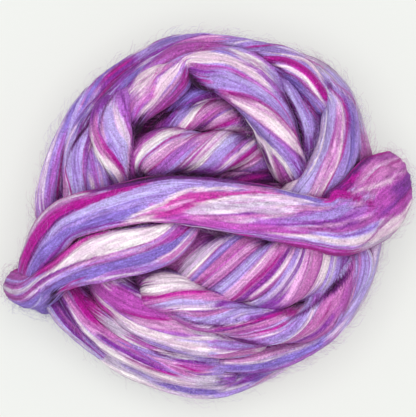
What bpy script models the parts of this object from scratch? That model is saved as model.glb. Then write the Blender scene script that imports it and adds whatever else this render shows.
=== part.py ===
"""A nest of combed wool roving: one long, soft length coiled into a shallow ball.

The whole nest is one solid. It is a filled heart with the turns of the roving laid over it,
all joined by a union: rings round the side, arches and twisted turns over the top, and the
last two passes crossing the crown from edge to edge. The underside is pressed flat.

Metres, +Z up. The origin is on the resting plane, under the middle of the nest.
"""
import math
from typing import NamedTuple

import bmesh
import bpy
import numpy as np
from mathutils import Vector

MM = 0.001
WELD = 0.00005

# ---- the nest as a whole, in millimetres
NEST_CENTRE = (0.0, 0.0, 42.0)
NEST_RADII = (85.0, 88.0, 45.0)

# ---- the filled heart: radius and height of its turned profile, from the bottom to the top
HEART_PROFILE = (
    (0, 2),
    (48, 2),
    (64, 5),
    (73, 14),
    (77, 27),
    (76, 38),
    (71, 46),
    (62, 52),
    (54, 57),
    (30, 59),
    (18, 60),
    (0, 68),
)
HEART_LENGTHEN_Y = 1.03
HEART_STEPS = 24

# ---- the cross-section of the roving
SIDES = 12
SECTION_SPACING = 9.0
SQUARENESS = 2.4
CURVE_STEPS = 40
FEWEST_SECTIONS = 4
LOCKS = 3
LOCK_DEPTH = 0.10
NOSE_LENGTH = 6.0
NOSE_LEAST = 0.3

# ---- the flat on which it rests
FLOOR_BLOCK_SIDE = 300.0
FLOOR_BLOCK_DEPTH = 60.0

# ---- share of the union's faces that are kept, which merges the slivers along the creases
KEPT_FACES = 0.62

WOOL_COLOUR = (0.42, 0.24, 0.58, 1.0)
WOOL_ROUGHNESS = 0.9


class Turn(NamedTuple):
    """A turn of the roving: how steeply its locks wind round it, and its sections.

    Each row is one section, in millimetres: x, y and z of its centre, its width
    across the nest's surface, and its depth into the nest.
    """

    lay_deg: float
    rows: tuple


class Ring(NamedTuple):
    """A closed coil: its two radii, its height, its width and its depth, in millimetres."""

    lay_deg: float
    radius_x: float
    radius_y: float
    z: float
    wide: float
    deep: float


# ---- closed coils, hidden below the turns that show
RINGS = {
    "foot_coil": Ring(14, 57, 59, 8.5, 22, 20),
    "under_coil": Ring(14, 28, 30, 7.5, 22, 18),
    "low_belt": Ring(14, 73, 75, 27, 20, 18),
    "high_belt": Ring(14, 60, 62, 48, 24, 18),
}

# ---- the turns that show
TURNS = {
    # over the crown, from the bulge at the left to the fan down the right flank, then under
    "crown_pass": Turn(3, (
        (-77, -44, 15, 15, 14),
        (-83, -42, 35, 17, 15),
        (-85.5, -32, 50, 15, 14),
        (-84.5, -19, 60, 15.5, 14),
        (-77, -7, 68, 19, 15),
        (-65, 0.5, 76, 19.5, 15),
        (-34, 7.5, 86, 20.5, 15),
        (-14, 8, 88, 23, 16),
        (21, 3, 87, 25, 16),
        (56, -3.5, 79, 24, 15),
        (66, -2.5, 75, 31, 15),
        (76, 1.5, 69, 36, 14),
        (86, 9.5, 58, 41, 14),
        (94.5, 15.5, 44, 34, 13),
        (94, 16, 29, 29, 13),
        (83, 12, 13, 24, 15),
        (58, 6, 6, 22, 15),
        (20, 1, 6, 22, 15),
    )),
    # from under the nest round its left end and over again, to its tail under the crown pass
    "tail_pass": Turn(5, (
        (30, 3, 6, 22, 15),
        (-20, -4, 6, 22, 15),
        (-58, -13, 7.5, 20, 15),
        (-84, -24, 15, 19, 15),
        (-95, -30, 30, 20, 15),
        (-95, -35, 45, 23, 15),
        (-86, -34, 58, 19, 15),
        (-73, -27.5, 69, 18, 15),
        (-54, -18.5, 78, 24, 15),
        (-21.5, -12, 84, 20, 15),
        (1, -4, 76, 10, 12),
    )),
    # under the nest, to the bulge at the left
    "base_pass": Turn(5, (
        (56, -12, 10, 16, 13),
        (26, -22, 6, 20, 15),
        (-15, -29, 6, 20, 15),
        (-52, -37, 7, 18, 15),
        (-72, -42, 14, 16, 15),
        (-80, -41, 26, 14, 13),
    )),
    # below the crown: a round head at the left, then a twisted run that knees up at the right
    "lower_twisted": Turn(32, (
        (-29, -32, 58, 15, 14),
        (-25, -35, 70, 20, 16),
        (-14, -39, 74, 20.5, 16),
        (-0.5, -45.5, 73, 20, 16),
        (28.5, -53, 67, 18, 16),
        (42, -53, 64, 18, 16),
        (55, -47, 61, 20, 16),
        (72, -26, 58, 18, 15),
        (75, -13.5, 54, 16, 14),
    )),
    # the broad, steeply twisted stretch between the crown and the lower run
    "centre_twisted": Turn(48, (
        (-33, -22, 58, 17, 14),
        (-17, -20, 65, 25, 17),
        (-1.5, -22, 70, 31, 18),
        (16, -25.5, 72, 35, 18),
        (33.5, -27.5, 71, 34, 18),
        (50, -24, 67, 32, 18),
        (63.5, -14, 61, 27, 16),
        (71, -2, 55, 24, 16),
    )),
    "lower_pink": Turn(8, (
        (-54, -24, 56, 20, 14),
        (-47, -36, 60, 23, 15),
        (-25.5, -51, 62, 24, 15),
        (1, -60, 57, 20, 15),
        (26, -62, 48, 12, 13),
        (35, -61, 43, 9, 12),
    )),
    "lower_left": Turn(2, (
        (-73, -30, 50, 14, 13),
        (-66, -42.5, 51, 15, 14),
        (-56.5, -54, 49, 18, 15),
        (-43, -64, 48, 19, 15),
        (-13, -76, 44, 18, 15),
        (15, -77, 37, 13, 13),
    )),
    "left_foot": Turn(2, (
        (-79, -30, 38, 14, 14),
        (-74.5, -45, 37, 15, 14),
        (-65.5, -58.5, 36, 16, 14),
        (-54, -67.5, 35, 15, 14),
        (-41.5, -73, 34, 13, 13),
    )),
    "bottom_outer": Turn(3, (
        (-54, -67, 32, 14, 14),
        (-39, -75.5, 33, 15, 14),
        (-4, -83, 33, 17, 15),
        (28.5, -77, 31, 15, 14),
        (43.5, -69, 30, 14, 14),
    )),
    # small loops seen in the gap between the two turns above
    "deep_lower": Turn(8, (
        (-66, -31, 42, 13, 13),
        (-58, -43, 46, 14, 13),
        (-36, -61, 46, 14, 13),
        (-9, -71.5, 47, 12, 12),
        (2, -73, 46, 11, 12),
        (10, -73, 42, 9, 10),
    )),
    # round the right side, from the bottom to the top
    "outer_right": Turn(2, (
        (-3, -69, 42, 11, 12),
        (27, -70, 46, 17, 15),
        (57, -57, 46, 18, 15),
        (75, -33, 46, 19, 15),
        (80, -2, 46, 18, 15),
        (68, 54, 46, 17, 15),
        (54, 72, 46, 16, 14),
        (33, 78, 41, 14, 14),
    )),
    "right_inner": Turn(4, (
        (40, -60, 42, 13, 13),
        (52, -55, 48, 14, 13),
        (62, -47, 50, 15, 13),
        (73.5, -26, 51, 15, 13),
        (76, -14, 49, 14, 13),
    )),
    # round the left side and the top, at the edge and one turn in
    "outer_left": Turn(10, (
        (-79, 0, 42, 16, 14),
        (-79, 14, 44, 16, 15),
        (-67.5, 43, 46, 18, 15),
        (-49, 65, 48, 18, 15),
        (-10, 85, 48, 15, 15),
        (31, 80, 49, 15, 14),
        (43, 75, 48, 15, 14),
        (53, 67, 45, 14, 13),
    )),
    "second_left": Turn(6, (
        (-64, 5, 54, 15, 14),
        (-63, 35, 57, 15, 14),
        (-47.5, 58, 58, 15, 14),
        (-21.5, 76, 58, 16, 14),
        (-6.5, 80, 57, 16, 14),
        (21, 74.5, 58, 17, 14),
        (31, 66, 59, 17, 14),
        (43, 42, 56, 14, 13),
    )),
    "left_inner": Turn(6, (
        (-50, 4, 56, 16, 14),
        (-53, 15, 59, 17, 14),
        (-55, 39, 57, 14, 13),
        (-50, 50, 54, 13, 13),
    )),
    # short turns that curl over the upper right edge
    "magenta_curl": Turn(8, (
        (24, 77, 50, 11, 12),
        (31, 78, 55, 12, 13),
        (46, 71.5, 61, 13, 14),
        (56, 59, 60, 12, 13),
        (58.5, 52, 57, 10, 12),
    )),
    "upper_right_inner": Turn(2, (
        (30, 77, 48, 12, 13),
        (39, 68, 55, 14, 14),
        (50, 46.5, 57, 16, 14),
        (51.5, 35, 56, 15, 14),
        (49, 23, 53, 13, 13),
    )),
    # the wide arch over the top, pinched where it folds down at its left end
    "big_arch": Turn(14, (
        (-39, 43, 52, 12, 12),
        (-38.5, 50, 60, 17, 14),
        (-33.5, 57.5, 66, 21, 16),
        (-26, 64, 69, 22, 16),
        (-17.5, 69.5, 69, 18, 15),
        (-9.5, 75.5, 67, 11, 13),
        (0, 73.5, 71, 20, 16),
        (11, 69.5, 73, 21.5, 17),
        (30, 51, 74, 22, 17),
        (39.5, 29, 68, 18, 16),
        (41.5, 19, 61, 14, 14),
    )),
    "arch_lining": Turn(16, (
        (-36, 45, 50, 14, 13),
        (-12, 60, 57, 18, 14),
        (2, 63, 58, 16, 14),
        (14, 61, 56, 13, 13),
    )),
    "left_knee": Turn(16, (
        (-38, 63, 56, 14, 13),
        (-44.5, 54.5, 64, 19, 16),
        (-48, 43, 68, 21, 16),
        (-43.5, 25, 65, 14, 14),
        (-40, 16, 59, 10, 12),
    )),
    "right_arch": Turn(10, (
        (52, 74, 46, 12, 13),
        (60, 64.5, 55, 15, 14),
        (65.5, 53, 61, 18, 15),
        (62.5, 27, 66, 22, 16),
        (45, 9, 67, 18, 15),
        (33.5, 3, 63, 14, 14),
    )),
    # the two twisted turns in the open eye of the nest, and what lies below them
    "inner_upper": Turn(38, (
        (-29, 41.5, 52, 13, 13),
        (-18, 48, 57, 16, 15),
        (-6.5, 52, 59, 18, 15),
        (6, 52.5, 59, 18, 15),
        (18.5, 49, 56, 16, 14),
        (28.5, 43, 52, 14, 13),
    )),
    "inner_lower": Turn(40, (
        (-40, 23, 54, 14, 14),
        (-34, 30, 60, 20, 16),
        (-24, 32.5, 64, 23, 18),
        (1, 32.5, 65, 21.5, 18),
        (25, 31, 59, 18, 16),
        (36, 25, 53, 15, 14),
    )),
    "eye_floor": Turn(24, (
        (-38, 12, 53, 14, 13),
        (-9, 17, 58, 16, 14),
        (23.5, 19, 57, 15, 14),
        (47, 8, 54, 13, 13),
    )),
    # the turn on which the crown pass lies
    "crown_bed": Turn(6, (
        (-82, -22, 42, 16, 15),
        (-76, -12, 54, 18, 16),
        (-64, -2, 63, 20, 16),
        (-45, 4, 69, 22, 18),
        (-15, 5, 73, 24, 18),
        (15, 3, 73, 24, 18),
        (45, -2, 70, 24, 18),
        (68, -1, 60, 22, 16),
        (80, 6, 44, 20, 14),
    )),
}
RING_ROWS = 24


def ring_rows(ring):
    """The sections of a closed coil; the last one is the first again."""
    rows = []
    for k in range(RING_ROWS + 1):
        angle = 2 * math.pi * (k % RING_ROWS) / RING_ROWS
        x = ring.radius_x * math.cos(angle)
        y = ring.radius_y * math.sin(angle)
        rows.append((x, y, ring.z, ring.wide, ring.deep))
    return rows


def smooth_sections(rows, spacing, closed):
    """Sections at an even spacing along a smooth curve through the given rows."""
    given = np.array(rows, float)
    gaps = np.linalg.norm(np.diff(given[:, :3], axis=0), axis=1)
    knots = np.concatenate([[0.0], np.cumsum(np.sqrt(gaps))])
    if closed:
        before = given[-2]
        after = given[1]
        first_step = knots[-1] - knots[-2]
        last_step = knots[1]
    else:
        before = 2 * given[0] - given[1]
        after = 2 * given[-1] - given[-2]
        first_step = knots[1]
        last_step = knots[-1] - knots[-2]
    wider = np.vstack([before, given, after])
    at = np.concatenate([[-first_step], knots, [knots[-1] + last_step]])
    slopes = (wider[2:] - wider[:-2]) / (at[2:] - at[:-2])[:, None]

    fine = np.linspace(0.0, knots[-1], CURVE_STEPS * len(given))
    i = np.clip(np.searchsorted(knots, fine, side="right") - 1, 0, len(given) - 2)
    step = (knots[i + 1] - knots[i])[:, None]
    u = (fine - knots[i])[:, None] / step
    curve = (
        (2 * u**3 - 3 * u**2 + 1) * given[i]
        + (u**3 - 2 * u**2 + u) * slopes[i] * step
        + (3 * u**2 - 2 * u**3) * given[i + 1]
        + (u**3 - u**2) * slopes[i + 1] * step
    )
    moves = np.linalg.norm(np.diff(curve[:, :3], axis=0), axis=1)
    along = np.concatenate([[0.0], np.cumsum(moves)])
    count = max(FEWEST_SECTIONS, round(along[-1] / spacing))
    even = np.linspace(0.0, along[-1], count + 1)
    columns = [np.interp(even, along, column) for column in curve.T]
    return np.stack(columns, axis=1), even


def section_axes(path, closed):
    """At each section, the way across the strand and the way out of the nest."""
    if closed:
        ahead = np.roll(path[:-1], -1, axis=0) - np.roll(path[:-1], 1, axis=0)
        tangent = np.vstack([ahead, ahead[:1]])
    else:
        tangent = np.gradient(path, axis=0)
    tangent /= np.linalg.norm(tangent, axis=1)[:, None]
    out = (path - NEST_CENTRE) / np.square(NEST_RADII)
    out -= (out * tangent).sum(axis=1)[:, None] * tangent
    out /= np.linalg.norm(out, axis=1)[:, None]
    return np.cross(tangent, out), out


def strand_points(rows, lay_deg, closed):
    """The rings of points of one strand. Each point stays on its own fibre line."""
    sections, along = smooth_sections(rows, SECTION_SPACING, closed)
    path = sections[:, :3]
    wide = sections[:, 3]
    deep = sections[:, 4]
    across, out = section_axes(path, closed)
    mean_radius = (wide + deep) / 4
    rate = math.tan(math.radians(lay_deg)) / mean_radius
    turned = np.concatenate([[0.0], np.cumsum((rate[1:] + rate[:-1]) / 2 * np.diff(along))])
    if closed:
        whole_turns = round(turned[-1] / (2 * math.pi))
        turned *= whole_turns * 2 * math.pi / turned[-1]
        nose = np.ones(len(along))
    else:
        to_end = np.minimum(along, along[-1] - along)
        into = np.clip(to_end / NOSE_LENGTH, 0.0, 1.0)
        nose = NOSE_LEAST + (1 - NOSE_LEAST) * np.sqrt(1 - (1 - into) ** 2)
    fibre = np.arange(SIDES) * 2 * math.pi / SIDES
    angle = fibre[None, :] + turned[:, None]
    lock = 1 + LOCK_DEPTH * np.cos(LOCKS * fibre)[None, :]
    c = np.cos(angle)
    s = np.sin(angle)
    round_off = (np.abs(c) ** SQUARENESS + np.abs(s) ** SQUARENESS) ** (-1 / SQUARENESS)
    sideways = c * round_off * lock * (wide / 2 * nose)[:, None]
    outwards = s * round_off * lock * (deep / 2 * nose)[:, None]
    points = path[:, None, :] + sideways[:, :, None] * across[:, None, :]
    points = points + outwards[:, :, None] * out[:, None, :]
    return points * MM


def strand_mesh(name, rows, lay_deg, closed=False):
    """A closed tube, its quads split along their shorter diagonal, with rounded-off ends."""
    points = strand_points(rows, lay_deg, closed)
    bm = bmesh.new()
    if closed:
        points = points[:-1]
    rings = [[bm.verts.new(p) for p in ring] for ring in points]
    pairs = list(zip(rings, rings[1:]))
    if closed:
        pairs.append((rings[-1], rings[0]))
    for one, two in pairs:
        for k in range(SIDES):
            n = (k + 1) % SIDES
            bm.faces.new((one[k], one[n], two[n], two[k]))
    if not closed:
        bm.faces.new(rings[0][::-1])
        bm.faces.new(rings[-1])
    bmesh.ops.recalc_face_normals(bm, faces=bm.faces[:])
    bmesh.ops.triangulate(bm, faces=bm.faces[:], quad_method="SHORT_EDGE")
    mesh = bpy.data.meshes.new(name)
    bm.to_mesh(mesh)
    bm.free()
    return mesh


def helper(name, mesh, collection):
    """An object that is joined or cut away, and is no part of its own."""
    obj = bpy.data.objects.new(name, mesh)
    obj.hide_render = True
    obj.display_type = "WIRE"
    collection.objects.link(obj)
    return obj


def heart_mesh():
    """The filled middle of the nest, hidden under the turns: the profile spun about Z."""
    bm = bmesh.new()
    verts = [bm.verts.new((radius * MM, 0.0, z * MM)) for radius, z in HEART_PROFILE]
    edges = [bm.edges.new(pair) for pair in zip(verts, verts[1:])]
    bmesh.ops.spin(
        bm,
        geom=verts + edges,
        axis=(0, 0, 1),
        cent=(0, 0, 0),
        steps=HEART_STEPS,
        angle=2 * math.pi,
    )
    bmesh.ops.remove_doubles(bm, verts=bm.verts[:], dist=WELD)
    bmesh.ops.scale(bm, vec=(1.0, HEART_LENGTHEN_Y, 1.0), verts=bm.verts[:])
    bmesh.ops.recalc_face_normals(bm, faces=bm.faces[:])
    mesh = bpy.data.meshes.new("roving")
    bm.to_mesh(mesh)
    bm.free()
    return mesh


def floor_mesh():
    """The block below the resting plane, which cuts the underside flat."""
    bm = bmesh.new()
    bmesh.ops.create_cube(bm, size=1.0)
    size = Vector((FLOOR_BLOCK_SIDE, FLOOR_BLOCK_SIDE, FLOOR_BLOCK_DEPTH)) * MM
    bmesh.ops.scale(bm, vec=size, verts=bm.verts[:])
    bmesh.ops.translate(bm, vec=(0, 0, -size.z / 2), verts=bm.verts[:])
    mesh = bpy.data.meshes.new("floor_block")
    bm.to_mesh(mesh)
    bm.free()
    return mesh


def evaluated(obj):
    """The object's mesh with its modifiers applied."""
    graph = bpy.context.evaluated_depsgraph_get()
    graph.update()
    return bpy.data.meshes.new_from_object(obj.evaluated_get(graph))


def keep_outer_skin(mesh):
    """Removes the skins of hollows shut inside the union, so that it is solid all through."""
    bm = bmesh.new()
    bm.from_mesh(mesh)
    bm.verts.ensure_lookup_table()
    unseen = set(bm.verts)
    skins = []
    while unseen:
        start = unseen.pop()
        skin = {start}
        edge_of_skin = [start]
        while edge_of_skin:
            vert = edge_of_skin.pop()
            for edge in vert.link_edges:
                other = edge.other_vert(vert)
                if other in unseen:
                    unseen.discard(other)
                    skin.add(other)
                    edge_of_skin.append(other)
        skins.append(skin)
    outer = max(skins, key=len)
    inner = [v for skin in skins if skin is not outer for v in skin]
    bmesh.ops.delete(bm, geom=inner, context="VERTS")
    bm.to_mesh(mesh)
    bm.free()


def build():
    for obj in list(bpy.data.objects):
        bpy.data.objects.remove(obj, do_unlink=True)
    scene = bpy.context.scene.collection
    turns = bpy.data.collections.new("turns")
    turns.hide_render = True
    scene.children.link(turns)

    for name, ring in RINGS.items():
        mesh = strand_mesh(name, ring_rows(ring), ring.lay_deg, closed=True)
        helper(name, mesh, turns)
    for name, turn in TURNS.items():
        helper(name, strand_mesh(name, turn.rows, turn.lay_deg), turns)

    roving = bpy.data.objects.new("roving", heart_mesh())
    scene.objects.link(roving)
    joined = roving.modifiers.new("join_the_turns", "BOOLEAN")
    joined.operation = "UNION"
    joined.operand_type = "COLLECTION"
    joined.collection = turns
    joined.solver = "EXACT"
    joined.use_self = True
    mesh = evaluated(roving)
    keep_outer_skin(mesh)
    roving.modifiers.remove(joined)
    roving.data = mesh
    mesh.name = "roving"

    floor_block = helper("floor_block", floor_mesh(), scene)
    fewer = roving.modifiers.new("fewer_faces", "DECIMATE")
    fewer.ratio = KEPT_FACES
    fewer.use_collapse_triangulate = True
    flat = roving.modifiers.new("flat_underside", "BOOLEAN")
    flat.operation = "DIFFERENCE"
    flat.object = floor_block
    flat.solver = "EXACT"

    wool = bpy.data.materials.new("dyed_wool")
    wool.use_nodes = True
    shader = wool.node_tree.nodes["Principled BSDF"]
    shader.inputs["Base Color"].default_value = WOOL_COLOUR
    shader.inputs["Roughness"].default_value = WOOL_ROUGHNESS
    shader.inputs["Metallic"].default_value = 0.0
    mesh.materials.clear()
    mesh.materials.append(wool)
    mesh.shade_smooth()


build()
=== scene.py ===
import math

import bmesh
import bpy
import numpy as np
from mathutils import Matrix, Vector
from mathutils.bvhtree import BVHTree


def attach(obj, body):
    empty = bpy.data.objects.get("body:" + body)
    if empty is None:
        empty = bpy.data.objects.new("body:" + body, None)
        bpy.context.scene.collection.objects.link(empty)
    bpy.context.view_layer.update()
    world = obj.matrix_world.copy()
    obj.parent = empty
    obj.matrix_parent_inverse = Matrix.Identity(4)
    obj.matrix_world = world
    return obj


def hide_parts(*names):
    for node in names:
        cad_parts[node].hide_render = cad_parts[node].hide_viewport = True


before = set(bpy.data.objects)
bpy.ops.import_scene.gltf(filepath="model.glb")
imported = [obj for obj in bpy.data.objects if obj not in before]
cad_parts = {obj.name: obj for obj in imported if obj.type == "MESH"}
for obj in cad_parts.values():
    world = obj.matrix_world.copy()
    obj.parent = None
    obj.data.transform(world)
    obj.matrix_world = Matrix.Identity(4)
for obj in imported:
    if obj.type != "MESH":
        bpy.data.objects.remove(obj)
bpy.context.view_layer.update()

# ---- The filled heart of the nest.
# Real: the tangle of inner coils that the outer turns are wound over. Combed wool top, dyed
# plum, magenta, lavender and white, and only seen as dark gaps between the turns. Here it is
# all one dark plum: painted shade in place of its many dyes.
MM = 0.001
HEART_PROFILE = (
    (0, 2), (46, 2), (57, 5), (65, 14), (73, 27), (75, 38),
    (71, 46), (62, 52), (54, 57), (30, 59), (18, 60), (0, 68),
)
HEART_LENGTHEN_Y = 1.03
HEART_STEPS = 72
HEART_DYE_AND_SHADE = (0.10, 0.008, 0.09)


class Signal:
    """A shader socket that takes part in sums: each operator adds its Math node."""

    def __init__(self, tree, socket=None):
        self.tree = tree
        self.socket = socket

    def node(self, kind, settings=None, sockets=None, output=0):
        """Adds a node: its settings first, then the values or links of its sockets."""
        made = self.tree.nodes.new(kind)
        for name, value in (settings or {}).items():
            setattr(made, name, value)
        for name, value in (sockets or {}).items():
            if isinstance(value, Signal):
                self.tree.links.new(value.socket, made.inputs[name])
            else:
                made.inputs[name].default_value = value
        return Signal(self.tree, made.outputs[output] if made.outputs else None)

    def calculate(self, operation, one, two):
        """Adds a Math node that works out one sum."""
        return self.node("ShaderNodeMath", {"operation": operation}, {0: one, 1: two})

    def __add__(self, other):
        return self.calculate("ADD", self, other)

    def __radd__(self, other):
        return self.calculate("ADD", other, self)

    def __sub__(self, other):
        return self.calculate("SUBTRACT", self, other)

    def __rsub__(self, other):
        return self.calculate("SUBTRACT", other, self)

    def __mul__(self, other):
        return self.calculate("MULTIPLY", self, other)

    def __rmul__(self, other):
        return self.calculate("MULTIPLY", other, self)


def dyed_wool_material():
    """Combed wool: its dyes and painted shade from the piece, fine fibres drawn out along the
    strand.
    """
    wool = bpy.data.materials.new("dyed_wool")
    wool.use_nodes = True
    wool.node_tree.nodes.clear()
    at = Signal(wool.node_tree)
    # On the turns this colour holds their dyes with painted shade, both the shade of the gaps
    # and the shadow stripes; on the loose fibres it holds their dyes and the shadow stripes.
    dye_and_shade = at.node("ShaderNodeAttribute", {"attribute_name": "dye_and_shade"}, output="Color")
    fibre = at.node("ShaderNodeAttribute", {"attribute_name": "fibre"}, output="Vector")

    def streaks(along, across, detail, shift):
        stretched = at.node(
            "ShaderNodeVectorMath",
            {"operation": "MULTIPLY_ADD"},
            {0: fibre, 1: (along, across, 1.0), 2: (shift, 0.0, 0.0)},
        )
        return at.node(
            "ShaderNodeTexNoise",
            {"noise_dimensions": "3D"},
            {"Vector": stretched, "Scale": 1.0, "Detail": detail, "Roughness": 0.65},
        )

    def hair_lines(along, across, shift, sharpness):
        level = streaks(along, across, 1.0, shift)
        away = at.node("ShaderNodeMath", {"operation": "ABSOLUTE"}, {0: level - 0.5})
        return at.node(
            "ShaderNodeMath",
            {"operation": "SUBTRACT", "use_clamp": True},
            {0: 1.0, 1: away * sharpness},
        )

    def colour_mix(share, one, two):
        return at.node(
            "ShaderNodeMix",
            {"data_type": "RGBA", "clamp_factor": True},
            {0: share, 6: one, 7: two},
            output=2,
        )

    place = at.node("ShaderNodeTexCoord", output="Object")
    crimp = at.node(
        "ShaderNodeTexNoise",
        {"noise_dimensions": "3D"},
        {"Vector": place, "Scale": 1200.0, "Detail": 3.0, "Roughness": 0.7, "Distortion": 1.2},
    )
    locks = streaks(0.05, 0.55, 4.0, 0.0)
    dark_hairs = hair_lines(0.05, 0.50, 31.0, 9.0)
    pale_hairs = hair_lines(0.06, 0.62, 67.0, 11.0)
    light = at.node("ShaderNodeRGBToBW", None, {"Color": dye_and_shade})
    gain = 1.0 + (1.1 - 0.6 * light) * (locks - 0.5) + (3.4 - 2.4 * light) * (crimp - 0.5)
    shaded = at.node("ShaderNodeVectorMath", {"operation": "SCALE"}, {0: dye_and_shade, "Scale": gain})
    deepened = at.node(
        "ShaderNodeVectorMath", {"operation": "MULTIPLY"}, {0: shaded, 1: (0.60, 0.34, 0.60)}
    )
    shaded = colour_mix(0.55 * dark_hairs, shaded, deepened)
    brightened = at.node(
        "ShaderNodeVectorMath", {"operation": "MULTIPLY_ADD"},
        {0: shaded, 1: (1.3, 1.45, 1.3), 2: (0.020, 0.008, 0.020)},
    )
    shaded = colour_mix(0.40 * pale_hairs, shaded, brightened)
    height = locks * 0.50 + crimp * 0.40 - dark_hairs * 0.12
    relief = at.node(
        "ShaderNodeBump", None, {"Strength": 0.9, "Distance": 0.0010, "Height": height}
    )
    rough = 0.75 + 0.20 * crimp
    shader = at.node(
        "ShaderNodeBsdfPrincipled",
        None,
        {
            "Base Color": shaded,
            "Roughness": rough,
            "Normal": relief,
            "Specular IOR Level": 0.11,
            "Sheen Weight": 0.09,
            "Sheen Roughness": 0.5,
            "Sheen Tint": (0.85, 0.62, 0.92, 1.0),
        },
    )
    at.node("ShaderNodeOutputMaterial", None, {"Surface": shader})
    return wool


DYED_WOOL = dyed_wool_material()


def finished_piece(name, mesh):
    mesh.materials.append(DYED_WOOL)
    mesh.shade_smooth()
    piece = bpy.data.objects.new(name, mesh)
    bpy.context.scene.collection.objects.link(piece)
    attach(piece, "root")
    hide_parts("roving")
    return piece


def wool_piece(name, points, faces, dye_and_shade, fibre):
    """A piece of wool from its points and faces, its dyes with painted shade, and fibre
    directions.
    """
    mesh = bpy.data.meshes.new(name)
    mesh.from_pydata(points, [], faces)
    colours = np.column_stack([dye_and_shade, np.ones(len(dye_and_shade))])
    mesh.attributes.new("dye_and_shade", "FLOAT_COLOR", "POINT").data.foreach_set("color", colours.ravel())
    lines = mesh.attributes.new("fibre", "FLOAT_VECTOR", "POINT")
    lines.data.foreach_set("vector", np.asarray(fibre, float).ravel())
    return finished_piece(name, mesh)


def lay_heart():
    """Turns the heart's profile about Z and gives it one dark plum, painted shade of the gaps.
    """
    rings = len(HEART_PROFILE) - 2
    points = [(0.0, 0.0, HEART_PROFILE[0][1] * MM)]
    for radius, z in HEART_PROFILE[1:-1]:
        for k in range(HEART_STEPS):
            turn = 2 * math.pi * k / HEART_STEPS
            x = radius * math.cos(turn) * MM
            y = radius * math.sin(turn) * HEART_LENGTHEN_Y * MM
            points.append((x, y, z * MM))
    points.append((0.0, 0.0, HEART_PROFILE[-1][1] * MM))
    faces = []
    for k in range(HEART_STEPS):
        n = (k + 1) % HEART_STEPS
        faces.append((0, 1 + n, 1 + k))
        for ring in range(rings - 1):
            low = 1 + ring * HEART_STEPS
            high = low + HEART_STEPS
            faces.append((low + k, low + n, high + n, high + k))
        top = 1 + (rings - 1) * HEART_STEPS
        faces.append((top + k, top + n, len(points) - 1))
    dye_and_shade = np.tile(HEART_DYE_AND_SHADE, (len(points), 1))
    fibre = np.array(points) / MM * (0.2, 1.0, 1.0)
    return wool_piece("heart_of_the_nest", points, faces, dye_and_shade, fibre)


lay_heart()

# ---- The closed coils round the middle.
# Real: the lower turns of the same length of roving: one under the middle, two round the foot
# and two round the belly. Wound flat on each other, and held by the turns that cross them.
NEST_CENTRE = np.array((0.0, 0.0, 42.0))
NEST_RADII = np.array((85.0, 88.0, 45.0))

# the section of the strand, in millimetres and shares
SQUARENESS = 2.4
LOCKS = 3
LOCK_DEPTH = 0.10
NOSE_LENGTH = 6.0
NOSE_LEAST = 0.3
CURVE_STEPS = 40

# how finely a coil is made, and how steeply its fibres wind round it
RING_ROWS = 24
COIL_SIDES = 56
COIL_STEP = 4.0
COIL_LAY = 14

# stripes, in degrees round the strand and in millimetres along it
STRIPE_SOFTNESS = 2.2
STRIPE_BULGE = 0.28
BULGE_LEVEL = 0.6
LOOSE_WIDTHS = (14, 38)
LOOSE_OVERLAP = 3
LOOSE_SWAY = 14
STRIPE_WAVER = 3
STARTS_BEFORE = 3
ENDS_BEFORE = 2
END_SOFTNESS = 5
RAGGED = 16.0
WIDE_PATCH = 40.0
MARGIN = 10

# how the fibres follow the stripes, and how soon they run straight or fill in again
WIDEST_LEADER = 60
LEADER_REACH = 6
LEADER_SLACK = 0.2
LEADER_GRID = 2.0
STRAIGHTENS_IN = 150.0
FANNED = 0.7
FILLS_IN = 12.0

# fibres that have strayed, and the share of the dye that they bring along
STRAYED = 4
WANDERED = 18
WANDERED_IN_COIL = 34
MOST_MIXED = 0.60
MIXED_FROM = 0.48
MIXED_OVER = 0.20
TONE_RANGE = 0.40

# unevenness of each kind: how long it is along the fibres and how wide across them
SWAY_SIZE = (45, 30)
WAVER_SIZE = (16, 40)
RAGGED_SIZE = (60, 3.5)
STRAY_SIZE = (16, 2.8)
WANDER_SIZE = (30, 3.2)
MIXED_SIZE = (28, 2.9)
TONE_SIZE = (26, 3.0)
LATTICE = (64, 256)
LATTICE_START = (8.0, 128.0)

# unevenness of the surface: length along, width across and height, in millimetres
PUCKERS = (
    (20, 9, 0.45), (16, 4, 0.30), (7, 24, 0.60), (3.4, 8, 0.30), (22, 70, 0.90),
)
laid = {}


def from_srgb(red, green, blue):
    """A colour as it looks on screen (sRGB, 0 to 255), as the linear colour a shader takes."""
    screen = np.array((red, green, blue)) / 255
    return np.where(screen <= 0.04045, screen / 12.92, ((screen + 0.055) / 1.055) ** 2.4)


# The roving's dyes, and painted shade: 'shadow' is painted shade for the deepest gaps, and
# 'plum' is a dark dye that also serves as painted shade along the gaps.
DYES_AND_SHADES = {
    "white": from_srgb(240, 230, 233),
    "cream": from_srgb(231, 209, 221),
    "grey": from_srgb(200, 184, 206),
    "pale_lavender": from_srgb(216, 192, 222),
    "pale_blue": from_srgb(184, 168, 222),
    "lavender": from_srgb(166, 137, 208),
    "periwinkle": from_srgb(134, 109, 192),
    "purple": from_srgb(172, 103, 193),
    "pink": from_srgb(208, 152, 200),
    "rose": from_srgb(194, 116, 180),
    "hot_pink": from_srgb(205, 70, 170),
    "mauve": from_srgb(168, 82, 163),
    "orchid": from_srgb(180, 78, 174),
    "magenta": from_srgb(170, 22, 140),
    "violet": from_srgb(134, 55, 156),
    "plum": from_srgb(101, 30, 112),
    "shadow": from_srgb(46, 8, 50),
}
STRIPE_ROTA = (
    "lavender", "magenta", "pale_lavender", "periwinkle", "rose", "purple",
    "white", "mauve", "pale_blue", "violet", "pink", "lavender",
)


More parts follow.
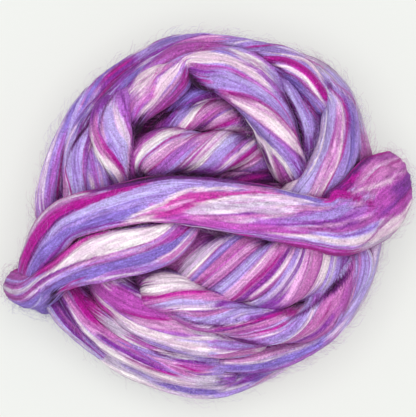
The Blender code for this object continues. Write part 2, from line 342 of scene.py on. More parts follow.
def drawn_out(seed, s, u, length, width):
    """Smooth random values from 0 to 1, long along the fibres and narrow across them."""
    table = np.random.default_rng(seed).random(LATTICE)
    x = np.asarray(s) / length + LATTICE_START[0]
    y = np.asarray(u) / width + LATTICE_START[1]
    x, y = np.broadcast_arrays(x, y)
    i = np.floor(x).astype(int)
    j = np.floor(y).astype(int)
    a = x - i
    b = y - j
    a = a * a * (3 - 2 * a)
    b = b * b * (3 - 2 * b)
    i, after_i = i % LATTICE[0], (i + 1) % LATTICE[0]
    j, after_j = j % LATTICE[1], (j + 1) % LATTICE[1]
    low = table[i, j] * (1 - b) + table[i, after_j] * b
    high = table[after_i, j] * (1 - b) + table[after_i, after_j] * b
    return low * (1 - a) + high * a


def smooth_sections(rows, step, closed=False):
    """Sections at an even step along a smooth curve through the given rows."""
    given = np.array(rows, float)
    gaps = np.linalg.norm(np.diff(given[:, :3], axis=0), axis=1)
    knots = np.concatenate([[0.0], np.cumsum(np.sqrt(gaps))])
    before, after = 2 * given[0] - given[1], 2 * given[-1] - given[-2]
    first_step, last_step = knots[1], knots[-1] - knots[-2]
    if closed:
        before, after = given[-2], given[1]
        first_step, last_step = last_step, first_step
    wider = np.vstack([before, given, after])
    at = np.concatenate([[-first_step], knots, [knots[-1] + last_step]])
    slopes = (wider[2:] - wider[:-2]) / (at[2:] - at[:-2])[:, None]
    fine = np.linspace(0.0, knots[-1], CURVE_STEPS * len(given))
    i = np.clip(np.searchsorted(knots, fine, side="right") - 1, 0, len(given) - 2)
    gap = (knots[i + 1] - knots[i])[:, None]
    u = (fine - knots[i])[:, None] / gap
    curve = (
        (2 * u**3 - 3 * u**2 + 1) * given[i]
        + (u**3 - 2 * u**2 + u) * slopes[i] * gap
        + (3 * u**2 - 2 * u**3) * given[i + 1]
        + (u**3 - u**2) * slopes[i + 1] * gap
    )
    moves = np.linalg.norm(np.diff(curve[:, :3], axis=0), axis=1)
    along = np.concatenate([[0.0], np.cumsum(moves)])
    even = np.linspace(0.0, along[-1], max(4, round(along[-1] / step)) + 1)
    return np.stack([np.interp(even, along, column) for column in curve.T], axis=1), even


def section_axes(path, closed=False):
    """At each section, the way across the strand and the way out of the nest."""
    if closed:
        ahead = np.roll(path[:-1], -1, axis=0) - np.roll(path[:-1], 1, axis=0)
        tangent = np.vstack([ahead, ahead[:1]])
    else:
        tangent = np.gradient(path, axis=0)
    tangent /= np.linalg.norm(tangent, axis=1)[:, None]
    out = (path - NEST_CENTRE) / np.square(NEST_RADII)
    out -= (out * tangent).sum(axis=1)[:, None] * tangent
    out /= np.linalg.norm(out, axis=1)[:, None]
    return np.cross(tangent, out), out


def blend_in(dye_and_shade, height, colour, raised, share):
    """Lays one stripe over the colour and the relief that lie there already."""
    height = height * (1 - share) + raised * share
    share = share[..., None]
    return dye_and_shade * (1 - share) + colour * share, height


def stripe_round_strand(dye_and_shade, height, colour, u, middle, width, radius, seen):
    """One soft-edged stripe, which is also a slightly raised lock of fibres."""
    from_middle = np.abs(u - middle)
    half = width / 2
    share = np.clip((half - from_middle) / (2 * STRIPE_SOFTNESS) + 0.5, 0.0, 1.0)
    share = share * share * (3 - 2 * share) * seen
    arched = np.sqrt(np.clip(1 - np.square(from_middle / np.maximum(half, 0.5)), 0.0, 1.0))
    size = np.sqrt(np.maximum(width, 0.0) * radius * math.pi / 180)
    raised = STRIPE_BULGE * size * (arched - BULGE_LEVEL)
    return blend_in(dye_and_shade, height, colour, raised, share)


def fibre_starts(s, u, stripes):
    """Where each point's fibre started, in degrees, with the fibres led along the stripes."""
    grid = np.arange(u.min() - 2 * MARGIN, u.max() + 2 * MARGIN, LEADER_GRID)
    courses = []
    for _, *course in stripes:
        spots = np.array(course, float)
        if spots[:, 2].max() < WIDEST_LEADER:
            middle = np.interp(s, spots[:, 0], spots[:, 1])
            pull = (s >= spots[0, 0]) & (s <= spots[-1, 0])
            courses.append((middle, np.interp(s, spots[:, 0], spots[:, 2]), pull))
    moved = np.zeros(len(grid))
    starts = [u[0]]
    for i in range(1, len(s)):
        total = np.full(len(grid), LEADER_SLACK)
        slope = np.zeros(len(grid))
        for middle, width, pull in courses:
            if pull[i] and pull[i - 1]:
                near = np.exp(-np.square((grid - middle[i]) / (width[i] / 2 + LEADER_REACH)))
                total += near
                slope += near * (middle[i] - middle[i - 1])
        back = grid - slope / total
        moved = np.interp(back, grid, moved) + back - grid
        crowding = np.gradient(grid + moved, grid)
        fanned = np.clip((FANNED - crowding) / FANNED, 0.0, 1.0)
        moved *= 1 - (s[i] - s[i - 1]) * (1 / STRAIGHTENS_IN + fanned / FILLS_IN)
        starts.append(u[i] + np.interp(u[i], grid, moved))
    return np.array(starts)


def dye_and_shade_strand(seed, s, u, grain, radius, stripes):
    """The colour and the relief of every point of a strand: its dyes, with some painted shade.

    First come the stripes that run all round it, in a loose order. Then come its own stripes:
    each is a colour and its course, as millimetres along, degrees round, and degrees wide.
    A 'shadow' stripe is painted shade, and a 'plum' one is dyed wool as well as painted shade.
    """
    rng = np.random.default_rng(seed)
    s = np.broadcast_to(s, u.shape)
    radius = np.broadcast_to(radius, u.shape)
    dye_and_shade = np.tile(DYES_AND_SHADES["lavender"], u.shape + (1,))
    height = np.zeros(u.shape)
    edge = grain.min() - MARGIN
    last = -1
    while edge < grain.max() + MARGIN:
        width = rng.uniform(*LOOSE_WIDTHS)
        pick = rng.integers(len(STRIPE_ROTA))
        if pick == last:
            pick = (pick + 1) % len(STRIPE_ROTA)
        last = pick
        sway = LOOSE_SWAY * (drawn_out(seed + 7 * pick, s, edge, *SWAY_SIZE) - 0.5)
        middle = edge + width / 2 + sway
        colour = DYES_AND_SHADES[STRIPE_ROTA[pick]]
        dye_and_shade, height = stripe_round_strand(
            dye_and_shade, height, colour, grain, middle, width + LOOSE_OVERLAP, radius, 1.0
        )
        edge += width
    for number, (name, *course) in enumerate(stripes):
        spots = np.array(course, float)
        middle = np.interp(s, spots[:, 0], spots[:, 1])
        width = np.interp(s, spots[:, 0], spots[:, 2])
        waver = drawn_out(seed + 101 * number, s, middle, *WAVER_SIZE) - 0.5
        middle = middle + STRIPE_WAVER * waver
        ragged = RAGGED * (drawn_out(seed + 103 * number, s, u, *RAGGED_SIZE) - 0.5)
        ragged *= np.clip(width / WIDE_PATCH, 0.0, 1.0)
        begun = (s - spots[0, 0] + STARTS_BEFORE + ragged) / END_SOFTNESS
        ended = (s - spots[-1, 0] + ENDS_BEFORE + ragged) / END_SOFTNESS
        seen = np.clip(begun, 0.0, 1.0) * (1 - np.clip(ended, 0.0, 1.0))
        dye_and_shade, height = stripe_round_strand(
            dye_and_shade, height, DYES_AND_SHADES[name], u, middle, width, radius, seen
        )
    return dye_and_shade, height


def tube_faces(rings, sides, base=0, closed=False):
    """The faces between the rings of points of a tube."""
    faces = []
    for i in range(rings if closed else rings - 1):
        one = base + i * sides
        two = base + (i + 1) % rings * sides
        for k in range(sides):
            n = (k + 1) % sides
            faces.append((one + k, two + k, two + n, one + n))
    return faces


def comb_strand(name, lay_deg, rows, stripes=(), sides=128, step=1.8, closed=False, lead=0):
    """Makes one turn of the roving, with its locks and stripes on their fibre lines.

    Each row is x, y and z, the strand's width and its depth, in millimetres. Each stripe is a
    colour and its course, as millimetres along, degrees round, and degrees wide, and lies over
    those before it; 'shadow' stripes are painted shade, and 'plum' ones are dyed wool as well
    as painted shade. The stripes are measured from the row after the first `lead` rows, which
    are tucked in.
    """
    sections, s = smooth_sections(rows, step, closed)
    path, wide, deep = sections[:, :3], sections[:, 3], sections[:, 4]
    across, out = section_axes(path, closed)
    zero = int(np.argmin(np.linalg.norm(path - np.array(rows[lead][:3]), axis=1)))
    radius = (wide + deep) / 4
    rate = math.tan(math.radians(lay_deg)) / radius
    turned = np.concatenate([[0.0], np.cumsum((rate[1:] + rate[:-1]) / 2 * np.diff(s))])
    if closed:
        turned *= round(turned[-1] / (2 * math.pi)) * 2 * math.pi / turned[-1]
        nose = np.ones(len(s))
    else:
        into = np.clip(np.minimum(s, s[-1] - s) / NOSE_LENGTH, 0.0, 1.0)
        nose = NOSE_LEAST + (1 - NOSE_LEAST) * np.sqrt(1 - (1 - into) ** 2)
        s, turned = s - s[zero], turned - turned[zero]
    fibre = np.arange(sides) * 2 * math.pi / sides
    angle = fibre[None, :] + turned[:, None]
    facing = (angle + math.pi / 2) % (2 * math.pi) - math.pi / 2
    u = np.degrees(facing - turned[:, None])
    seed = sum(ord(letter) * (k + 3) for k, letter in enumerate(name))

    mm_along = s[:, None]
    mm_round = radius[:, None]
    grain = fibre_starts(s, u, stripes)
    stray = STRAYED * (drawn_out(seed + 1, mm_along, grain, *STRAY_SIZE) - 0.5)
    wander = drawn_out(seed + 2, mm_along, grain, *WANDER_SIZE) - 0.5
    wander *= WANDERED if stripes else WANDERED_IN_COIL
    dye_and_shade, height = dye_and_shade_strand(seed, mm_along, u + stray, grain, mm_round, stripes)
    mixed, _ = dye_and_shade_strand(seed, mm_along, u + wander, grain + wander, mm_round, stripes)
    part = (drawn_out(seed + 3, mm_along, grain, *MIXED_SIZE) - MIXED_FROM) / MIXED_OVER
    part = (MOST_MIXED * np.clip(part, 0.0, 1.0))[..., None]
    dye_and_shade = dye_and_shade * (1 - part) + mixed * part
    tone = 1 + TONE_RANGE * (drawn_out(seed + 4, mm_along, grain, *TONE_SIZE) - 0.5)
    dye_and_shade = np.clip(dye_and_shade * tone[..., None], 0.0, 1.0)
    for number, (length, breadth, rise) in enumerate(PUCKERS):
        bumps = drawn_out(seed + 5 + number, mm_along, grain, length, breadth)
        height = height + rise * (bumps - 0.5)

    lock = 1 + LOCK_DEPTH * np.cos(LOCKS * fibre)[None, :]
    c, d = np.cos(angle), np.sin(angle)
    round_off = (np.abs(c) ** SQUARENESS + np.abs(d) ** SQUARENESS) ** (-1 / SQUARENESS)
    sideways = c * (round_off * lock * (wide / 2)[:, None] + height) * nose[:, None]
    outwards = d * (round_off * lock * (deep / 2)[:, None] + height) * nose[:, None]
    points = path[:, None, :] + sideways[..., None] * across[:, None, :]
    points = points + outwards[..., None] * out[:, None, :]
    points[..., 2] = np.maximum(points[..., 2], 0.0)
    mm_across = np.radians(grain) * radius.mean()
    lines = np.stack(np.broadcast_arrays(mm_along, mm_across, seed % 97), axis=-1)
    if closed:
        points, dye_and_shade, lines = points[:-1], dye_and_shade[:-1], lines[:-1]
    count = len(points)
    faces = tube_faces(count, sides, closed=closed)
    if not closed:
        faces.append(tuple(range(sides)))
        faces.append(tuple(range((count - 1) * sides, count * sides))[::-1])
    flat = (-1, 3)
    piece = wool_piece(
        name, points.reshape(flat) * MM, faces, dye_and_shade.reshape(flat), lines.reshape(flat)
    )
    laid[name] = (piece, points, dye_and_shade, lines)


def closed_coil(name, radius_x, radius_y, z, wide, deep):
    """One closed coil round the nest."""
    rows = []
    for k in range(RING_ROWS + 1):
        turn = 2 * math.pi * (k % RING_ROWS) / RING_ROWS
        rows.append((radius_x * math.cos(turn), radius_y * math.sin(turn), z, wide, deep))
    comb_strand(name, COIL_LAY, rows, (), COIL_SIDES, COIL_STEP, closed=True)


closed_coil("foot_coil", 57, 59, 8.5, 22, 20)
closed_coil("under_coil", 28, 30, 7.5, 22, 18)
closed_coil("foot_belt", 64, 66, 15.5, 20, 15)
closed_coil("low_belt", 73, 75, 27, 20, 18)
closed_coil("high_belt", 60, 62, 48, 24, 18)

# ---- The bed that the two crown passes lie on.
# Real: a turn of the roving right under the last ones, seen only as plum and mauve gaps. Its
# wide plum ground is dyed wool as well as painted shade.
comb_strand("crown_bed", 6, (
    (-58, -36, 26, 9, 9),
    (-72, -31, 31, 13, 13),
    (-82, -22, 42, 16, 15),
    (-76, -12, 54, 18, 16),
    (-64, -2, 63, 20, 16),
    (-45, 4, 69, 22, 18),
    (-15, 5, 73, 24, 18),
    (15, 3, 73, 24, 18),
    (45, -2, 70, 24, 18),
    (68, -1, 60, 22, 16),
    (80, 6, 44, 20, 14),
), (
    ("plum", (0, 60, 200), (70, 60, 200)),
    ("mauve", (60, 60, 90), (80, 60, 90)),
    ("plum", (82, 60, 300), (170, 60, 300)),
    ("violet", (124, -30, 60), (140, -30, 60)),
), lead=2)

# ---- The coils round the left and the bottom of the nest.
# Real: wool top laid in long arcs along the rim, its fibres nearly straight. The outermost
# arcs are the palest, and magenta and plum show where the next turn lies over them.
comb_strand("left_foot", 2, (
    (-62, -12, 34, 8, 8),
    (-74, -18, 37, 12, 12),
    (-79, -30, 38, 14, 14),
    (-73.5, -44, 37, 15, 14),
    (-63, -56, 36, 14, 13),
    (-55, -64.5, 35, 10, 11),
    (-48.5, -71, 33, 6, 8),
    (-43, -75.5, 31, 4, 5),
), (
    ("violet", (0, 180, 120), (30, 176, 110), (60, 180, 90)),
    ("pale_blue", (0, 124, 50), (16, 128, 40), (30, 122, 34), (60, 124, 40)),
    ("grey", (10, 134, 12), (26, 128, 12), (44, 130, 14)),
    ("mauve", (14, 172, 12), (26, 164, 14), (36, 156, 14), (46, 150, 10)),
    ("plum", (8, 196, 24), (30, 202, 22), (44, 202, 12)),
    ("lavender", (34, 160, 8), (48, 156, 12), (60, 156, 12)),
), lead=2)
comb_strand("bottom_outer", 3, (
    (-60, -50, 29, 7, 8),
    (-52, -64.5, 32, 12, 13),
    (-38, -73.5, 33, 14, 14),
    (-4, -83, 33, 17, 15),
    (28, -76, 31, 14, 13),
    (42, -67.5, 30, 10, 11),
    (54, -55, 28, 7, 8),
    (58, -44, 27, 4, 5),
), (
    ("grey", (0, 130, 120), (30, 135, 100), (64, 130, 90), (105, 120, 90)),
    ("white", (0, 126, 34), (18, 130, 30), (34, 122, 20), (46, 112, 12)),
    ("grey", (8, 182, 40), (22, 182, 36), (36, 176, 20)),
    ("pale_lavender", (30, 174, 20), (42, 172, 22), (52, 166, 18)),
    ("pale_blue", (12, 172, 14), (22, 164, 16), (32, 154, 14)),
    ("periwinkle", (32, 148, 10), (42, 150, 22), (54, 146, 24), (64, 136, 18)),
    ("rose", (34, 174, 10), (46, 170, 8)),
    ("pale_lavender", (36, 122, 20), (50, 116, 26), (62, 108, 20)),
    ("lavender", (62, 122, 30), (72, 118, 30), (80, 120, 20)),
    ("mauve", (64, 158, 12), (71, 152, 14)),
    ("periwinkle", (72, 172, 50), (80, 158, 50), (88, 148, 24)),
    ("violet", (73, 160, 30), (82, 152, 26)),
    ("orchid", (77, 182, 10), (86, 172, 12), (93, 154, 16), (98, 136, 26), (103, 116, 44)),
    ("rose", (78, 118, 12), (88, 134, 8)),
    ("pale_lavender", (84, 106, 20), (90, 110, 32), (97, 106, 26)),
), lead=1)
comb_strand("deep_lower", 8, (
    (-66, -31, 44, 13, 13),
    (-58, -43, 50, 14, 13),
    (-36, -61, 51, 14, 13),
    (-9, -71.5, 49, 12, 12),
    (2, -73, 46, 11, 12),
    (10, -73, 42, 9, 10),
), (
    # The plum here is dyed wool as well as painted shade, and the shadow is painted shade, where
    # the turn lies deep under the others.
    ("plum", (0, 150, 160), (16, 150, 160)),
    ("shadow", (6, 168, 50), (14, 156, 40)),
    ("magenta", (13, 126, 70), (18, 122, 80), (25, 114, 84)),
    ("grey", (26, 126, 90), (32, 124, 90), (40, 120, 70)),
    ("cream", (29, 132, 12), (40, 126, 14)),
    ("mauve", (40, 118, 50), (60, 100, 60)),
    ("periwinkle", (46, 122, 10), (58, 112, 10)),
    ("plum", (60, 84, 50), (65, 76, 50)),
    ("grey", (67, 90, 60), (74, 84, 50)),
    ("lavender", (74, 92, 22), (88, 80, 40)),
    ("periwinkle", (72, 72, 16), (78, 70, 16)),
    ("violet", (68, 60, 26), (76, 64, 30), (83, 60, 20)),
    ("mauve", (70, 44, 26), (78, 44, 28), (85, 42, 16)),
    ("magenta", (70, 36, 12), (78, 26, 12)),
    ("lavender", (82, 16, 40), (88, 24, 70), (94, 20, 70)),
))
comb_strand("lower_left", 2, (
    (-73, -30, 50, 14, 13),
    (-66, -42.5, 51, 15, 14),
    (-56.5, -54, 49, 18, 15),
    (-43, -64, 48, 19, 15),
    (-13, -76, 44, 18, 15),
    (15, -77, 37, 13, 13),
), (
    ("violet", (0, 112, 40), (20, 110, 36), (38, 104, 24)),
    ("plum", (4, 108, 24), (12, 106, 20), (24, 100, 14)),
    ("pale_lavender", (40, 90, 120), (60, 90, 90), (90, 90, 90)),
    ("plum", (6, 215, 60), (18, 212, 50)),
    ("magenta", (2, 174, 40), (10, 178, 48), (20, 176, 56), (27, 176, 50), (33, 174, 30)),
    ("rose", (4, 138, 22), (20, 138, 20), (27, 146, 20), (36, 160, 32), (48, 168, 36),
     (60, 160, 30)),
    ("pink", (6, 130, 8), (22, 130, 8), (34, 142, 12), (44, 150, 12)),
    ("mauve", (10, 145, 5), (26, 150, 6), (38, 156, 7)),
    ("white", (15, 122, 6), (24, 120, 8), (33, 117, 12), (42, 108, 26), (54, 100, 34)),
    ("cream", (50, 106, 24), (66, 106, 24), (84, 104, 26)),
    ("grey", (28, 204, 46), (38, 202, 46), (46, 192, 24)),
    ("lavender", (27, 212, 20), (31, 210, 12)),
    ("magenta", (28, 178, 12), (34, 170, 8)),
    ("orchid", (46, 196, 24), (56, 186, 26)),
    ("violet", (33, 138, 8), (44, 141, 12), (54, 136, 14), (64, 134, 14), (73, 131, 8)),
    ("mauve", (50, 150, 12), (60, 150, 12), (70, 142, 8)),
    ("periwinkle", (42, 158, 4), (52, 161, 6), (61, 153, 5), (68, 146, 3)),
    ("rose", (56, 172, 22), (66, 168, 32), (76, 150, 22), (84, 138, 10)),
    ("rose", (26, 131, 5), (36, 129, 5), (46, 127, 4)),
    ("magenta", (48, 124, 3), (60, 121, 5), (66, 127, 6), (77, 130, 6)),
    ("magenta", (68, 184, 18), (75, 168, 20), (84, 152, 14)),
    ("grey", (84, 134, 20), (90, 122, 50), (96, 112, 50)),
    ("shadow", (96, 132, 18), (99, 112, 30)),
    ("violet", (101, 130, 60), (108, 130, 60)),
))

# ---- The coils round the right side.
# Real: the same long arcs. Below they are pink and periwinkle, at the right very pale, and
# they come out again above the fan as mauve.
comb_strand("outer_right", 2, (
    (-3, -69, 42, 11, 12),
    (27, -70, 46, 17, 15),
    (57, -57, 46, 18, 15),
    (75, -33, 46, 19, 15),
    (80, -2, 46, 18, 15),
    (68, 54, 46, 17, 15),
    (54, 72, 46, 16, 14),
    (33, 78, 41, 14, 14),
    (16, 78, 39, 11, 11),
    (4, 70, 37, 6, 7),
), (
    ("lavender", (0, 120, 130), (60, 115, 120), (76, 110, 120)),
    ("pink", (10, 164, 24), (24, 168, 34), (36, 174, 38), (47, 164, 26), (56, 148, 14)),
    ("rose", (16, 166, 5), (30, 176, 8), (44, 172, 6)),
    ("mauve", (26, 196, 10), (38, 194, 12), (52, 166, 14)),
    ("plum", (32, 202, 6), (38, 200, 8), (48, 182, 6)),
    ("cream", (12, 148, 8), (24, 150, 9), (36, 148, 11), (47, 141, 12), (56, 134, 8)),
    ("periwinkle", (14, 134, 20), (28, 134, 20), (42, 130, 26), (54, 124, 26), (63, 118, 18)),
    ("violet", (18, 104, 16), (30, 108, 24), (36, 104, 20)),
    ("purple", (36, 96, 30), (60, 96, 40)),
    ("mauve", (58, 100, 30), (65, 104, 44)),
    ("pale_lavender", (69, 108, 80), (78, 100, 90)),
    ("pink", (72, 124, 12), (80, 126, 10)),
    ("pale_lavender", (78, 90, 110), (90, 84, 110), (104, 80, 110), (118, 80, 110)),
    ("pale_blue", (78, 104, 40), (92, 104, 36), (104, 92, 30), (114, 90, 24)),
    ("white", (80, 84, 20), (92, 74, 30), (104, 66, 30), (114, 60, 26)),
    ("lavender", (62, 136, 10), (76, 130, 10), (86, 122, 6)),
    ("pale_blue", (78, 116, 34), (90, 112, 34), (100, 104, 24)),
    ("grey", (80, 96, 20), (94, 88, 22), (108, 78, 20)),
    ("pink", (78, 142, 8), (86, 140, 6)),
    ("plum", (150, 130, 30), (157, 112, 50)),
    ("rose", (157, 70, 130), (163, 66, 120), (169, 56, 100)),
    ("pink", (159, 50, 60), (166, 46, 50), (172, 36, 40)),
    ("mauve", (162, 90, 16), (167, 60, 14)),
    ("pale_blue", (160, 119, 5), (168, 102, 7), (176, 76, 9)),
    ("grey", (171, 50, 70), (182, 40, 60), (192, 40, 50), (206, 40, 40)),
    ("lavender", (186, 44, 10), (198, 42, 16)),
    ("grey", (198, 66, 90), (216, 66, 100)),
    ("rose", (200, 84, 12), (216, 82, 14)),
    ("pink", (202, 62, 6), (216, 62, 8)),
))
comb_strand("right_inner", 4, (
    (40, -60, 42, 13, 13),
    (52, -55, 48, 14, 13),
    (62, -47, 50, 15, 13),
    (73.5, -26, 51, 15, 13),
    (76, -14, 49, 14, 13),
), (
    ("plum", (0, 90, 120), (60, 90, 120)),
    ("mauve", (8, 70, 16), (46, 70, 16)),
))

# ---- The coils round the left side and the top, at the edge and one turn in.
# Real: two arcs side by side. Lavender and pale at the left, magenta-violet at the upper
# left, periwinkle over the top, with thin magenta lines.
comb_strand("outer_left", 10, (
    (-60, -24, 38, 8, 8),
    (-71, -15, 40, 13, 12),
    (-79, 0, 42, 16, 14),
    (-79, 14, 44, 16, 15),
    (-67.5, 43, 46, 18, 15),
    (-49, 65, 48, 18, 15),
    (-10, 85, 48, 15, 15),
    (31, 80, 49, 15, 14),
    (43, 75, 48, 15, 14),
    (53, 67, 45, 14, 13),
), (
    ("lavender", (0, 20, 130), (60, 10, 110)),
    ("purple", (0, 30, 120), (9, 20, 110)),
    ("white", (10, 76, 60), (26, 66, 50)),
    ("pale_lavender", (10, 24, 34), (34, 14, 24), (52, 10, 16)),
    ("white", (56, 6, 6), (66, 8, 12), (76, 4, 9)),
    ("purple", (12, -18, 26), (30, -18, 20), (44, -22, 12)),
    ("plum", (9, -52, 16), (14, -52, 12)),
    ("magenta", (12, -46, 10), (20, -41, 10), (30, -36, 8), (42, -31, 4)),
    ("mauve", (10, -12, 3), (24, -13, 3), (40, -21, 3)),
    ("pale_blue", (36, -38, 8), (48, -32, 10), (58, -20, 9), (66, -6, 9), (72, 2, 12)),
    ("periwinkle", (44, -16, 8), (56, -6, 18), (64, 6, 10)),
    ("periwinkle", (58, -44, 16), (66, -34, 26), (73, -18, 20), (80, -4, 14), (95, -14, 10)),
    ("violet", (66, -54, 24), (74, -46, 40), (84, -44, 54), (96, -48, 50)),
    ("magenta", (74, -36, 10), (82, -34, 16), (90, -40, 14)),
    ("magenta", (76, -62, 8), (86, -66, 10), (94, -74, 6)),
    ("lavender", (97, -44, 60), (104, -50, 60)),
    ("lavender", (100, -60, 60), (110, -56, 70), (118, -64, 66), (127, -72, 50)),
    ("periwinkle", (105, -52, 30), (111, -54, 36), (118, -64, 20)),
    ("white", (92, -10, 12), (98, -16, 24), (104, -16, 12)),
    ("white", (116, -32, 10), (124, -50, 26), (130, -70, 40)),
    ("violet", (96, -84, 14), (106, -90, 12), (114, -98, 8)),
    ("rose", (110, -108, 12), (122, -118, 26), (131, -122, 40), (138, -112, 44)),
    ("pink", (122, -106, 8), (132, -106, 14), (138, -100, 14)),
    ("mauve", (118, -126, 5), (134, -136, 6)),
    ("lavender", (139, -122, 70), (150, -124, 70), (160, -124, 60)),
    ("white", (141, -138, 5), (147, -122, 6), (152, -106, 6)),
    ("magenta", (147, -152, 8), (155, -138, 10), (161, -124, 12)),
    ("mauve", (160, -112, 30), (168, -118, 20)),
    ("pale_lavender", (168, -130, 50), (176, -130, 50)),
), lead=2)
comb_strand("second_left", 6, (
    (-64, 5, 54, 15, 14),
    (-63, 35, 57, 15, 14),
    (-47.5, 58, 58, 15, 14),
    (-21.5, 76, 58, 16, 14),
    (-6.5, 80, 57, 16, 14),
    (21, 74.5, 58, 17, 14),
    (31, 66, 59, 17, 14),
    (43, 42, 56, 14, 13),
), (
    ("pale_blue", (8, 40, 80), (24, 44, 90), (40, 40, 80)),
    ("lavender", (10, 30, 40), (24, 34, 36), (36, 30, 30)),
    ("rose", (3, 108, 50), (9, 102, 40), (16, 102, 20)),
    ("pink", (7, 90, 12), (13, 92, 10)),
    ("magenta", (6, 62, 12), (12, 72, 12), (16, 82, 10), (20, 90, 6)),
    ("mauve", (8, 2, 5), (18, 4, 6), (32, 2, 5)),
    ("purple", (10, -14, 26), (24, -16, 28), (32, -22, 24)),
    ("cream", (31, -22, 12), (36, -20, 14)),
    ("lavender", (20, 108, 24), (30, 98, 34), (40, 90, 30)),
    ("pale_lavender", (26, 92, 8), (34, 92, 16), (39, 86, 18)),
    # The plum and shadow below are painted shade: the dark band along the inner edge of the
    # outer turn.
    ("plum", (19, 86, 5), (26, 68, 10), (32, 48, 20), (38, 28, 22), (43, 16, 16)),
    ("shadow", (29, 58, 6), (34, 42, 10), (40, 22, 9), (44, 14, 8)),
    ("periwinkle", (40, 78, 50), (48, 72, 44)),
    ("violet", (36, 52, 20), (44, 50, 30)),
    ("plum", (42, 36, 30), (50, 40, 30)),
    ("violet", (49, 74, 60), (62, 66, 60), (72, 60, 60), (84, 44, 60)),
    ("magenta", (58, 74, 50), (64, 68, 60), (68, 62, 40)),
    ("plum", (58, 30, 30), (65, 34, 30)),
    ("violet", (60, 14, 30), (70, 24, 34), (80, 34, 30)),
    ("periwinkle", (67, 4, 26), (75, 4, 26), (83, 20, 14)),
    ("pale_lavender", (88, 60, 10), (86, 40, 10), (88.5, 40, 12)),
    ("pale_lavender", (84, 34, 34), (88, 40, 46)),
    ("mauve", (89, 0, 80), (100, 0, 70), (110, -2, 56), (120, 0, 40)),
    ("orchid", (104, 8, 30), (112, 14, 26), (120, 16, 14)),
    ("magenta", (108, -12, 5), (117, 0, 7), (122, 12, 6)),
    ("lavender", (117, -8, 20), (124, 2, 40), (130, 6, 26)),
    ("white", (123, -6, 12), (131, -25, 28), (138, -41, 36), (144, -44, 28)),
    ("pink", (134, -34, 8), (140, -48, 8)),
    ("plum", (133, 12, 16), (139, -4, 12)),
    ("pale_blue", (142, -32, 30), (147, -30, 24)),
    ("lavender", (147, -38, 34), (153, -42, 24)),
    ("periwinkle", (144, -16, 6), (152, -32, 8)),
    ("plum", (154, -42, 16), (160, -46, 30)),
))
comb_strand("left_inner", 6, (
    (-50, 4, 56, 16, 14),
    (-53, 15, 59, 17, 14),
    (-55, 39, 57, 14, 13),
    (-50, 50, 54, 13, 13),
), (
    ("lavender", (0, 50, 130), (60, 50, 130)),
    ("purple", (8, 66, 30), (24, 60, 24), (34, 50, 12)),
    ("mauve", (10, 54, 6), (20, 50, 5)),
    ("pink", (12, 40, 8), (22, 36, 6)),
    ("cream", (12, 78, 16), (17, 78, 18)),
    ("violet", (10, 12, 16), (18, 14, 10)),
    ("white", (20, 12, 8), (26, 24, 18), (34, 40, 26)),
))

# ---- The floor of the nest's eye, and the lining under the wide arch.
# Real: deeper turns that show as dark violet and plum between the upper ones. Their wide plum
# grounds are dyed wool as well as painted shade, and their shadow stripes are painted shade.
comb_strand("eye_floor", 24, (
    (-38, 12, 53, 14, 13),
    (-9, 17, 58, 16, 14),
    (23.5, 19, 57, 15, 14),
    (47, 8, 54, 13, 13),
), (
    ("plum", (0, 0, 300), (40, -60, 300), (90, -150, 300)),
    ("lavender", (34, -48, 10), (40, -70, 12), (48, -98, 10)),
    ("shadow", (34, -44, 14), (44, -66, 16), (52, -96, 12)),
    ("pink", (47, -68, 16), (53, -88, 24), (60, -110, 16)),
    ("magenta", (52, -118, 14), (60, -136, 18), (66, -146, 16)),
    ("shadow", (62, -160, 20), (72, -176, 24)),
    ("pink", (73, -184, 30), (80, -196, 30)),
))
comb_strand("arch_lining", 16, (
    (-36, 45, 50, 14, 13),
    (-12, 60, 57, 18, 14),
    (2, 63, 58, 16, 14),
    (14, 61, 56, 13, 13),
), (
    ("plum", (0, -40, 260), (60, -60, 260)),
    ("magenta", (0, -8, 50), (6, -8, 50)),
    ("shadow", (9, 0, 40), (22, -14, 40)),
    ("periwinkle", (26, -36, 50), (34, -30, 54), (40, -36, 40)),
    ("violet", (30, -44, 14), (40, -54, 16)),
    ("pale_lavender", (34, -70, 8), (42, -76, 10)),
    ("orchid", (42, -80, 12), (50, -92, 20)),
))

